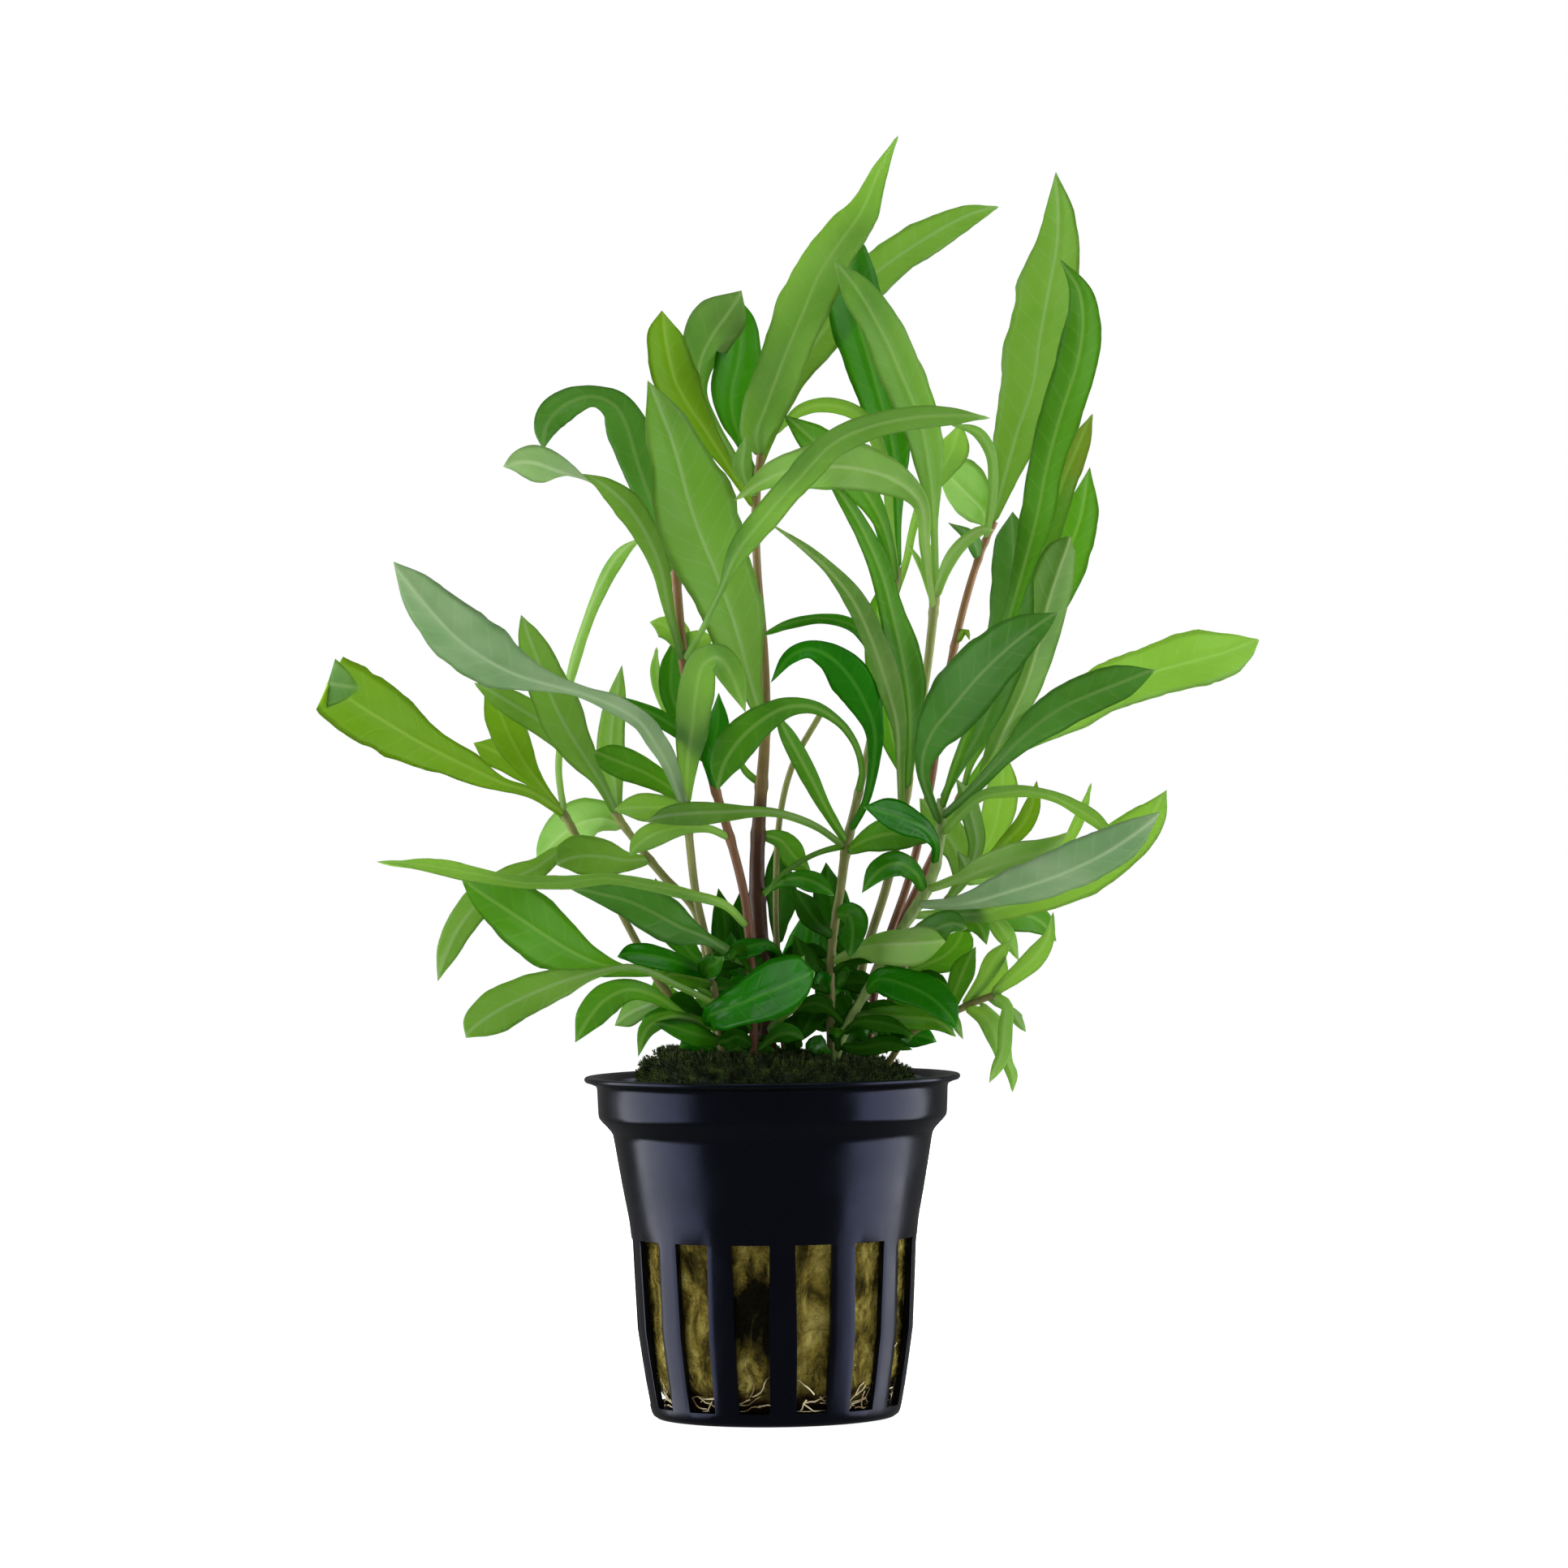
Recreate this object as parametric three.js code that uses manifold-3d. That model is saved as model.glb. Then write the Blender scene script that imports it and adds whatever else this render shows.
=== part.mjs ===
import * as THREE from 'three';
import { mergeVertices } from 'three/addons/utils/BufferGeometryUtils.js';
import Module from 'manifold-3d';

// Siamensis hygrophila growing in a small slotted aquatic-plant pot.
// Millimetres, +Z up, the origin at the middle of the pot's underside, +X to the right and +Y to the back.

// Driving dimensions of the pot
const POT_HEIGHT = 50;
const LIP_RADIUS = 27.5;
const LIP_THICKNESS = 0.9;
const BAND_RADIUS = 25.65;
const BAND_TOP = 48.6;
const BAND_BOTTOM = 44;
const STEP_BOTTOM = 41.7;
const NECK_RADIUS = 23.35;
const BEND_RADIUS = 21.2;
const BEND_HEIGHT = 29;
const WAIST_RADIUS = 20.8;
const WAIST_HEIGHT = 25.5;
const BODY_RADIUS = 20.2;
const BODY_HEIGHT = 13;
const FOOT_RADIUS = 17;
const FOOT_BEVEL = 1.3;
const WALL = 1;
const FLOOR = 1.2;
const SLOT_COUNT = 14;
const SLOT_BOTTOM = 2;
const SLOT_TOP = 26.4;
const SLOT_WIDTH_TOP = 5.6;
const SLOT_WIDTH_BOTTOM = 4.5;
const SLOT_TURN = THREE.MathUtils.degToRad(3.4);
const DRAIN_COUNT = 7;
const DRAIN_WIDTH = 2.4;
const DRAIN_START = 8.5;
const DRAIN_END = 15.2;
const POT_SIDES = 2 * SLOT_COUNT;

// Driving dimensions of what fills the pot
const GAP = 0.3;
const WOOL_TOP = 46.9;
const WOOL_LUMP = 0.35;
const WOOL_LUMP_SPACING = 2.3;
const WOOL_SIDES = 18;
const MOSS_RADIUS = 19.4;
const MOSS_SKIRT = 1.4;
const MOSS_TOP = 54.2;
const MOSS_DEPTH_SCALE = 0.88;
const MOSS_FALL = 0.07;
const MOSS_LUMP = 0.45;
const MOSS_LUMP_SPACING = 1.9;
const MOSS_SIDES = 16;

// Driving dimensions of the plant
const LEAF_THICKNESS = 0.8;
const LEAF_SIDES = 4;
const LEAF_STATION = 8.5;
const JOIN_WIDTH = 1;
const LEAST_WIDTH = 0.5;
const TWIG_STATION = 11;
const BEND_STATION = 4.5;
const TWIST_STATION = 2;
const HALF_TURNED = 90;
const LEAF_ROLL = THREE.MathUtils.degToRad(30);
const ARCHED = 0.7;
const BENT = 0.84;
const STRAIGHT = 0.96;
const STEM_STATION = 14;
const STEM_SIDES = 5;

// A plant point is given as across, up and back. Across and up are measured in the upright plane through the
// pot's axis, as an eye level with the middle of the plant sees them from in front. Back is how far the point
// really lies behind that plane (in front when negative), before the whole crown is spread by DEPTH_SPREAD.
const EYE_ACROSS = 2.2;
const EYE_UP = 92.5;
const EYE_DISTANCE = 950;
const DEPTH_SPREAD = 1.5;

function onSight([across, up, back]) {
  const depth = back * DEPTH_SPREAD;
  const reach = (EYE_DISTANCE + depth) / EYE_DISTANCE;
  return new THREE.Vector3(
    EYE_ACROSS + (across - EYE_ACROSS) * reach,
    depth,
    EYE_UP + (up - EYE_UP) * reach,
  );
}

// Stems, from the wool upward: across, up, back, thickness
const STEMS = {
  stem_main: [[-0.5, 45, -3, 2.7], [-0.8, 58, -3.2, 2.7], [-1.6, 70, -3.6, 2.6], [-1.9, 80, -4, 2.3],
    [-1.3, 90, -4.5, 1.9], [-0.6, 98, -4.8, 1.6], [-0.3, 106, -5, 1.3], [-0.6, 114, -5.2, 1.2],
    [-1.3, 123, -5.4, 1.2], [-1.5, 130, -5.5, 1.2], [-1.2, 137, -5.4, 1.1], [-0.6, 141, -5.3, 1]],
  stem_centre: [[9, 45, -1.5, 1.3], [8.6, 60, -1.5, 1.3], [9, 69, -1.2, 1.3], [10.3, 77, -0.6, 1.3],
    [11.2, 83, 0, 1.4], [13.2, 91.5, 0.8, 1.2], [15, 99, 1.5, 1.2], [16.6, 107, 2.2, 1.2],
    [18.2, 116.5, 3, 1.1], [19.2, 124, 3.6, 1.1]],
  stem_inner_right: [[11.5, 45, 3.5, 1.3], [13, 64, 3.5, 1.3], [17.2, 78, 3, 1.3], [19.6, 88, 2.5, 1.3],
    [21.2, 98, 2, 1.2], [23, 107, 1.8, 1.2], [24.1, 115, 1.5, 1.3], [24.7, 121, 1.2, 1.3]],
  stem_outer_right: [[13.5, 45, 6.5, 1.2], [15.5, 64, 6.5, 1.2], [20.5, 79, 6, 1.2], [23.6, 92, 5.6, 1.2],
    [25.4, 103, 5.2, 1.1], [27.5, 113, 5, 1.1], [29.8, 121.5, 4.8, 1.1], [31.6, 126.6, 4.8, 1],
    [33.4, 130.6, 4.8, 1]],
  stem_inner_left: [[-2.5, 45, -6.5, 1.3], [-2.8, 62, -6.6, 1.3], [-3.6, 75, -6.8, 1.3],
    [-5.6, 84, -7, 1.3], [-8.2, 93, -7, 1.3], [-10, 100, -7, 1.3], [-11.8, 107.5, -7, 1.4],
    [-12.6, 114, -7, 1.4], [-13.3, 124, -7, 1.3]],
  stem_far_left: [[-9, 45, 2, 1.2], [-12, 57, 1.6, 1.2], [-17.2, 65, 1, 1.2], [-20.6, 71.5, 0.5, 1.1],
    [-24, 78, 0.2, 1.1], [-27.6, 84, 0, 1.1], [-30.2, 88.8, -0.2, 1.1]],
  stem_mid_left: [[-6.5, 45, -1, 1.2], [-8.6, 60, -1, 1.2], [-11, 74, -1, 1.2], [-15.4, 79, -0.8, 1.2],
    [-19.4, 84, -0.4, 1.1], [-22.8, 88.8, 0, 1]],
  stem_low_left: [[-6.5, 45, -5.5, 1.2], [-8, 60, -5.6, 1.2], [-9, 67.5, -5.8, 1.2],
    [-10.8, 76, -6.2, 1.2], [-11.6, 83, -6.6, 1.2], [-12.2, 90.5, -7, 1.2]],
  stem_low_right: [[7.5, 45, -6, 1.2], [10.4, 55.5, -6, 1.2], [14.5, 63, -5.6, 1.3],
    [19.5, 71.5, -4.8, 1.5], [23.4, 77.8, -4, 1.5], [25, 84, -2.8, 1.3], [25.2, 90, -1.6, 1.2]],
  stem_thin: [[2.6, 45, 0, 0.9], [1.2, 62, 0, 0.9], [0.8, 76, 0.4, 0.9], [1.6, 88, 1, 0.9],
    [3.6, 95.5, 1.6, 0.9], [7.6, 102.6, 2.4, 0.9]],
  stem_back_right: [[10, 45, 8, 1.2], [14, 62, 8, 1.2], [21, 76, 8, 1.2], [26, 86, 7.6, 1.2],
    [28.6, 91.6, 7.4, 1.2]],
  stem_side_right: [[13.6, 45, 1, 1.1], [16.5, 58, 1, 1.1], [21.6, 69.5, 1.2, 1.1],
    [26.4, 75.8, 1.2, 1.1], [30, 80, 1.2, 1]],
  stem_edge_right: [[14.5, 45, -3.6, 1], [17, 51.4, -4, 1], [20.4, 55.8, -4.6, 1],
    [25.4, 58.2, -5.4, 0.9], [29.6, 60.2, -6, 0.9], [33.6, 61.6, -6.4, 0.8]],
};

// Large leaves: the stem and the height that each grows from, then across, up, back, width and, where the
// blade is turned about its rib, the turn in degrees
const LEAVES = {
  leaf_top_centre: ['stem_main', 140.4, [[-1, 143.6, -5.6, 4.8], [0.5, 148, -5.2, 6.2],
    [3.2, 155, -3.6, 7], [6.2, 162, -1.6, 7.6], [8.4, 167, 0.4, 7.3], [11, 171, 2.2, 6.6],
    [14.6, 176, 4.8, 4.7], [17.3, 182, 7.4, 2.4], [20, 187.2, 9.4, 0]]],
  leaf_top_behind: ['stem_main', 138.5, [[1.6, 146.5, -1.6, 3.2], [4.5, 152.5, 2.4, 5.4],
    [8.5, 158, 7, 6], [12.5, 163, 11.6, 6.4], [17, 167.3, 15.6, 6.2], [24, 172, 20, 5.4],
    [30, 175.2, 23, 3.6], [34.6, 176.6, 25, 0]]],
  leaf_top_pair_back: ['stem_centre', 123.4, [[19.2, 131, 4.6, 1.3], [19, 137, 4.8, 3],
    [18.3, 143, 5.2, 5.4], [16.6, 149, 5.6, 6.8], [15, 155, 6, 7.6], [13.3, 161, 6.6, 9],
    [12.8, 166, 7.4, 7.8], [12.3, 171, 8.2, 5], [12, 174.6, 8.8, 0]]],
  leaf_top_pair_front: ['stem_inner_right', 120.8, [[24.5, 130, 0.2, 1.3], [24, 137, -0.6, 3.4],
    [22.6, 145, -1.4, 5.9], [19.9, 152, -2, 6.3], [16.8, 159, -2.4, 5.8], [13.6, 164.6, -2.6, 4.8],
    [10.4, 168.8, -2.8, 0]]],
  leaf_front_arch: ['stem_inner_left', 110.6, [[-9.3, 115.5, -12.6, 0.9], [-6.6, 121, -14.6, 1.1],
    [-4, 126.5, -15.4, 3], [0, 131.5, -15.4, 4], [5, 137, -16, 4.2], [10, 142, -16, 4],
    [15, 144.3, -15.6, 3.8], [21, 145.6, -14.8, 3.4], [27, 146, -13.8, 2.6], [33, 145.7, -12.6, 0]]],
  leaf_cross_front: ['stem_centre', 121.5, [[17.4, 129, 0.8, 2], [15, 134, 0.4, 3.6],
    [11.6, 138.4, -1.4, 5.6], [7.6, 142, -3, 5.4], [2.6, 146.6, -4.4, 0]]],
  leaf_cross_level: ['stem_inner_right', 117.4, [[23.4, 126.6, -2.4, 1.2], [22.6, 133.4, -4, 2.6],
    [18, 137.2, -6.4, 5.4], [11.6, 138.8, -8.4, 7], [5, 138.6, -10, 5.6], [0.4, 137.4, -11, 3.4],
    [-4.7, 134, -11.6, 0]]],
  leaf_hanging_centre: ['stem_inner_right', 91, [[20.6, 100, -1.4, 2.5], [20.3, 106, -2.4, 5],
    [19.3, 112, -3.4, 5.2], [18, 118, -4.2, 3.6], [16.7, 123, -5, 3.2], [14.2, 129, -5.8, 2.8],
    [11.6, 133.6, -6.4, 2], [8.8, 137.4, -6.8, 0]]],
  leaf_narrow_centre: ['stem_inner_right', 87, [[19.2, 94.5, -4.4, 1.2], [19, 101, -6.8, 2.4],
    [17.2, 108, -6.8, 3.6], [15.2, 114, -8, 3.6], [12.6, 119.5, -9, 3], [9.2, 123.8, -9.6, 1.8],
    [5.4, 127.2, -10, 1.2], [0.8, 130.5, -10.4, 0]]],
  leaf_round_right: ['stem_centre', 119.2, [[20.6, 125.2, 5.8, 1.1], [21.5, 129.5, 7, 1.2],
    [23.2, 134, 8, 2], [25.8, 138, 9.4, 3.8], [27.7, 141.4, 10.2, 4.6], [28.7, 145.2, 10.8, 0]]],
  leaf_pale_right: ['stem_outer_right', 130, [[31.3, 133, 10.6, 5], [29, 135.3, 12.6, 7.4],
    [27, 137.4, 14, 5.6], [24.6, 139.8, 15.6, 0]]],
  leaf_tall_right: ['stem_outer_right', 130.2, [[35.2, 137, 6, 4], [37.1, 143.5, 6.6, 7],
    [39.5, 150.5, 7.2, 8.8], [40.5, 157, 7.8, 9.4], [42, 164.5, 8.6, 9], [43.3, 171.6, 9.6, 6.4],
    [43.4, 177, 10.6, 3.6], [43, 181.6, 11.4, 0]]],
  leaf_hooked_right: ['stem_low_right', 88.4, [[28.2, 97, -5, 1.4], [31.5, 105, -6.2, 1.6],
    [34.8, 114, -6.4, 2], [37.6, 123, -5.4, 3], [39.9, 131.5, -4, 5], [41.5, 139, -2.8, 5.2],
    [43.8, 147, -2, 6], [46, 153.5, -1.4, 6.4], [46.9, 159.5, -1, 5], [46.3, 164.4, -0.6, 3.2],
    [43.5, 168.8, -0.2, 0]]],
  leaf_torn_right: ['stem_back_right', 91.5, [[29.6, 95, 9.8, 1], [33.5, 101.5, 11.6, 1.3],
    [37, 111, 13.6, 1.6], [39.6, 121, 15.2, 2.6], [41.2, 129, 16.2, 4.4], [43.6, 136, 17, 4.6],
    [46, 141.5, 17.6, 3.4], [48, 146.2, 18, 0]]],
  leaf_bright_right: ['stem_back_right', 90, [[33.6, 98.5, 13, 1.5], [37.6, 108, 18.6, 2.4],
    [41, 117, 21.6, 5.4], [43.8, 124.5, 23.4, 7], [46.2, 131, 24.6, 5.6], [47.5, 138.4, 25.4, 0]]],
  leaf_upright_right: ['stem_low_right', 89.6, [[28, 94.7, -0.2, 1.5], [30.7, 99, 0.4, 2.6],
    [33.3, 105, 0.6, 5], [35.2, 111.5, 0.6, 6.4], [36.1, 118, 0.6, 6.6], [36.4, 124, 0.6, 6.4],
    [36.3, 128.5, 0.6, 4.6], [36.1, 132, 0.6, 0]]],
  leaf_olive_right: ['stem_back_right', 87.4, [[30.5, 91.4, 6.9, 1.1], [31.9, 94.8, 7.3, 1.8],
    [34.5, 100.3, 8.6, 3.4], [37.3, 106, 9.2, 5.6], [39.3, 112, 9.8, 6.6], [40.8, 118, 10.4, 6.6],
    [42.6, 123.4, 11, 6.4], [43.8, 126.6, 11.4, 4], [44.4, 128.4, 11.6, 0]]],
  leaf_big_dark_right: ['stem_low_right', 86, [[22.6, 94.4, -7, 2], [24, 99.4, -10, 5.4],
    [27, 103.2, -12.6, 8], [31, 107.8, -15, 8.8], [35.5, 112, -16.6, 7.4], [39, 114.7, -17.6, 4.4],
    [42.8, 117.2, -18.2, 0]]],
  leaf_long_right: ['stem_back_right', 84.4, [[30.2, 91.6, 5.4, 1.6], [34, 95.8, 6.2, 2.4],
    [38.5, 99.2, 8.2, 4.6], [44, 102.6, 10.6, 6.8], [50, 105.6, 13.4, 7.4], [55.5, 107.8, 16, 7.6],
    [61, 109.3, 18.6, 8.7], [66.5, 110.7, 21, 7], [70, 112, 22.4, 3.6], [72, 112.8, 23.2, 0]]],
  leaf_long_right_front: ['stem_low_right', 87.2, [[30, 91.4, -6.6, 1.6], [34.5, 96, -9, 2.4],
    [38.7, 100, -11.6, 4.4], [43, 103, -13.6, 5.9], [47.5, 105, -15.2, 6.2], [52, 106.7, -16.4, 5],
    [56.8, 108.6, -17.2, 0]]],
  leaf_grey_right: ['stem_low_right', 74.6, [[26, 74.6, -7, 1.8], [30, 75.1, -9.4, 3],
    [34.5, 76.4, -12, 4.8], [39.5, 77.9, -14.6, 6.2], [44.5, 79.8, -17, 6.6], [49.4, 82.2, -19, 6],
    [53.4, 84.8, -20.4, 4.4], [57.2, 87.8, -21.4, 0]]],
  leaf_low_right_back: ['stem_low_right', 73, [[25, 73, -2.6, 1.6], [30.5, 73, -2.4, 2.4],
    [36, 74.5, -3, 4.4], [42, 76.8, -4, 6], [47.5, 79.8, -5, 7], [52.3, 83.3, -6, 7], [56, 87, -6.8, 4.6],
    [58.2, 91, -7.2, 0]]],
  leaf_short_right: ['stem_low_right', 76.6, [[27.8, 78.4, -6.8, 1.8], [31.5, 79.8, -9, 3.4],
    [36, 81.2, -11, 4.2], [40, 82.4, -12.4, 3.4], [43.9, 85, -13.4, 0]]],
  leaf_ribbon_right: ['stem_low_right', 84.6, [[30.5, 90.2, -8, 2.4, 50], [34, 91.1, -10.4, 3.2, 58],
    [38, 91.3, -12.6, 3.4, 60], [41.5, 90.5, -14, 3.2, 58], [44.5, 89, -15, 3, 50],
    [47.8, 86.8, -15.8, 2.4, 36], [51.4, 82.8, -16.4, 0, 20]]],
  leaf_broad_low_right: ['stem_side_right', 69.6, [[24.6, 71, 3.4, 1], [27.6, 72.6, 4, 2.6],
    [31, 73.4, 4.6, 5], [35.6, 73.2, 6.2, 5.8], [39.4, 71.8, 7.4, 3.8], [41.8, 69, 8, 0]]],
  leaf_arch_centre: ['stem_centre', 91, [[13.6, 94.4, -3.6, 0.9], [12.8, 98, -6, 1],
    [10.4, 101.4, -8.6, 1.3], [6.6, 103.7, -10.4, 2], [2.6, 103.7, -11.6, 3], [-1.2, 101.7, -12.6, 4.4],
    [-4.4, 98.8, -13.2, 5.2], [-6.6, 95.4, -13.6, 4.2], [-7.6, 91.6, -14, 0]]],
  leaf_dark_arch: ['stem_centre', 85.4, [[14.2, 90, -3.4, 1.2], [15.4, 95.6, -4.2, 1.8],
    [15.5, 100.4, -5, 2.8], [14, 104.6, -6, 4.8], [11.9, 108.2, -7.2, 6], [9, 111.1, -8.4, 4.2],
    [6, 112.2, -9.4, 2.6], [3.2, 111, -10.2, 2.2], [0.4, 107.3, -10.8, 0]]],
  leaf_curled_left: ['stem_low_left', 89.4, [[-11.9, 95.6, -9.4, 3], [-11.2, 100.4, -10.6, 4.8],
    [-10.6, 105.4, -11.8, 5.2], [-9.4, 110, -13, 4.6], [-7, 111, -14.6, 4.2], [-5, 107.8, -16.2, 3.6],
    [-3.3, 103, -17.4, 0]]],
  leaf_largest_front: ['stem_main', 100.5, [[-2.3, 106, -8, 3], [-3.6, 111, -9.2, 6],
    [-5.3, 117, -10.2, 8.6], [-7.6, 123.5, -11, 10.6], [-10, 129.5, -11.8, 11.6],
    [-11.6, 134.6, -12.4, 11.8], [-12.7, 139, -12.8, 9.6], [-14, 143.4, -13.2, 7.2],
    [-15.7, 148, -13.6, 3.8], [-17.1, 151.8, -13.8, 0]]],
  leaf_folded_left: ['stem_inner_left', 122.6, [[-15.4, 130.5, -5, 2.6], [-17.3, 135.5, -3.8, 4.4],
    [-18.9, 140.5, -2.8, 5.4], [-20.2, 145, -2.2, 6.2], [-21.8, 148, -2.4, 4.8],
    [-24.8, 149.5, -3.2, 3.2], [-28.3, 148.8, -4.4, 4.2], [-31, 146.8, -5.8, 4.8],
    [-32.2, 144.6, -7.4, 3.4], [-32.5, 141.8, -8.4, 0]]],
  leaf_twisted_left: ['stem_inner_left', 109.4, [[-14.3, 118, -8.6, 1.6], [-15.6, 124.6, -9.6, 2.8],
    [-17.8, 129.8, -10.8, 3.6], [-20.2, 133.4, -12, 4.2, 0], [-23.2, 136, -13.2, 3, 20],
    [-26, 137.5, -14.4, 2, 70], [-28.6, 138.3, -15.4, 3, 125], [-31.4, 139.1, -16.6, 4.8, 165],
    [-33.8, 139.9, -17.4, 5.2, 180], [-36.2, 140, -18.2, 3.4, 185], [-38.4, 139.4, -19, 0, 185]]],
  leaf_bright_top_left: ['stem_main', 132.6, [[-4.6, 137.4, -5.8, 1.2], [-6.8, 141, -5.8, 2.4],
    [-9.2, 144.8, -5.8, 3.8], [-11.6, 148.4, -5.6, 5.4], [-13.2, 151.6, -5.4, 6.8],
    [-14.1, 155, -5, 6.6], [-14.7, 158.6, -4.6, 5], [-14.9, 162, -4.2, 0]]],
  leaf_blue_top_left: ['stem_main', 135, [[-5, 141, -3, 1.4], [-7.6, 145.4, -1.6, 1.8],
    [-9.5, 149.4, -1, 2.4], [-9.8, 153, -0.8, 4.2], [-8.9, 156, -1, 6.6], [-7.2, 159, -1.2, 7.8],
    [-5.1, 161.8, -1.6, 6.2], [-3.2, 164.8, -2, 0]]],
  leaf_dark_top_left: ['stem_main', 136.6, [[-3.4, 142, -1.2, 1.6], [-4.8, 146, -0.4, 3.8],
    [-5, 150, 0.6, 6.2], [-4.1, 154, 1.6, 7.2], [-3.6, 158, 2.6, 5.6], [-4, 161.4, 3.4, 4.2],
    [-4.4, 164.2, 4, 0]]],
  leaf_far_left: ['stem_far_left', 88.2, [[-35, 91.6, -4.4, 1.6], [-39, 92.9, -7, 2],
    [-44, 95.3, -9.8, 4.4], [-50, 98.4, -13, 6.2], [-56, 102, -16, 9], [-60.6, 105, -18, 10],
    [-64.4, 108, -19.4, 8]]],
  leaf_long_left: ['stem_low_left', 87.8, [[-14.4, 95, -10, 2.2], [-16.3, 98.5, -12, 3],
    [-18.6, 101.8, -13.8, 3], [-22.5, 104.3, -15.8, 2.6], [-27.5, 106.3, -17.6, 1.8],
    [-32, 107.6, -18.8, 3], [-36, 108.8, -19.6, 5], [-40, 110.7, -20.2, 7.6], [-45, 114.2, -20.8, 9],
    [-49, 118.5, -21.2, 7], [-52, 122.3, -21.4, 4.2], [-54.6, 125.7, -21.6, 0]]],
  leaf_upright_left: ['stem_mid_left', 88.2, [[-25, 93.3, -1.8, 2], [-27.3, 97, -3, 4.4],
    [-30, 101.5, -4.4, 6.2], [-32.3, 106.5, -5.8, 6.2], [-34, 111.5, -7, 5], [-35.3, 115, -7.8, 2.8],
    [-36, 117.7, -8.4, 0]]],
  leaf_hanging_left: ['stem_far_left', 83, [[-31, 82.6, -4, 2.2], [-34, 80.6, -6.6, 3.2],
    [-38.5, 78.4, -9, 4], [-42.5, 75.6, -11, 4.6], [-45.4, 72, -12.2, 4.2], [-47.4, 68, -13, 2.8],
    [-48.8, 64.2, -13.4, 0]]],
  leaf_level_left: ['stem_inner_left', 71.6, [[-6.6, 74.8, -9.6, 1.4, 20], [-12, 76.4, -12.6, 2.6, 50],
    [-18, 77.6, -15.4, 4, 64], [-24, 78.6, -17.8, 4.8, 68], [-30, 78.1, -19.8, 4.8, 68],
    [-36, 78.1, -21.6, 5, 66], [-43, 79.5, -23.4, 4.8, 64], [-50, 80.8, -25, 3.8, 60],
    [-57.6, 81.8, -26.4, 0, 60]]],
  leaf_broad_left: ['stem_low_left', 61.2, [[-14, 64.6, -8.6, 1], [-20.6, 65.2, -11, 1.4],
    [-26, 66.6, -13.4, 4], [-30, 68.6, -15, 7.4], [-34.6, 71.6, -16.8, 8.8], [-39, 74.6, -18.4, 7.8],
    [-42.6, 77, -19.6, 4.6], [-45.1, 79, -20.4, 0]]],
  leaf_rounded_left: ['stem_low_left', 60.2, [[-13.4, 63, -13.4, 1], [-20, 65.8, -16, 1],
    [-26, 65, -19, 1.6], [-31, 63.6, -21, 4], [-36, 61.6, -23, 5.8], [-40.4, 59.4, -24.4, 6.2],
    [-43.3, 57.4, -25.2, 4.2], [-44.8, 55.9, -25.6, 0]]],
};

// A tip that is folded back over its own leaf, one piece with it, as across, up, back and width
const FOLDED_TIPS = {
  leaf_far_left: [[-64.4, 108, -19.4, 8], [-62, 107.6, -20.6, 5.4], [-59.6, 107.2, -21.4, 0]],
};

// The large leaves whose pale lower face is towards the front
const SEEN_FROM_BELOW = ['leaf_narrow_centre', 'leaf_cross_level', 'leaf_pale_right', 'leaf_grey_right',
  'leaf_blue_top_left', 'leaf_long_left', 'leaf_olive_right', 'leaf_short_right'];

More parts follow.
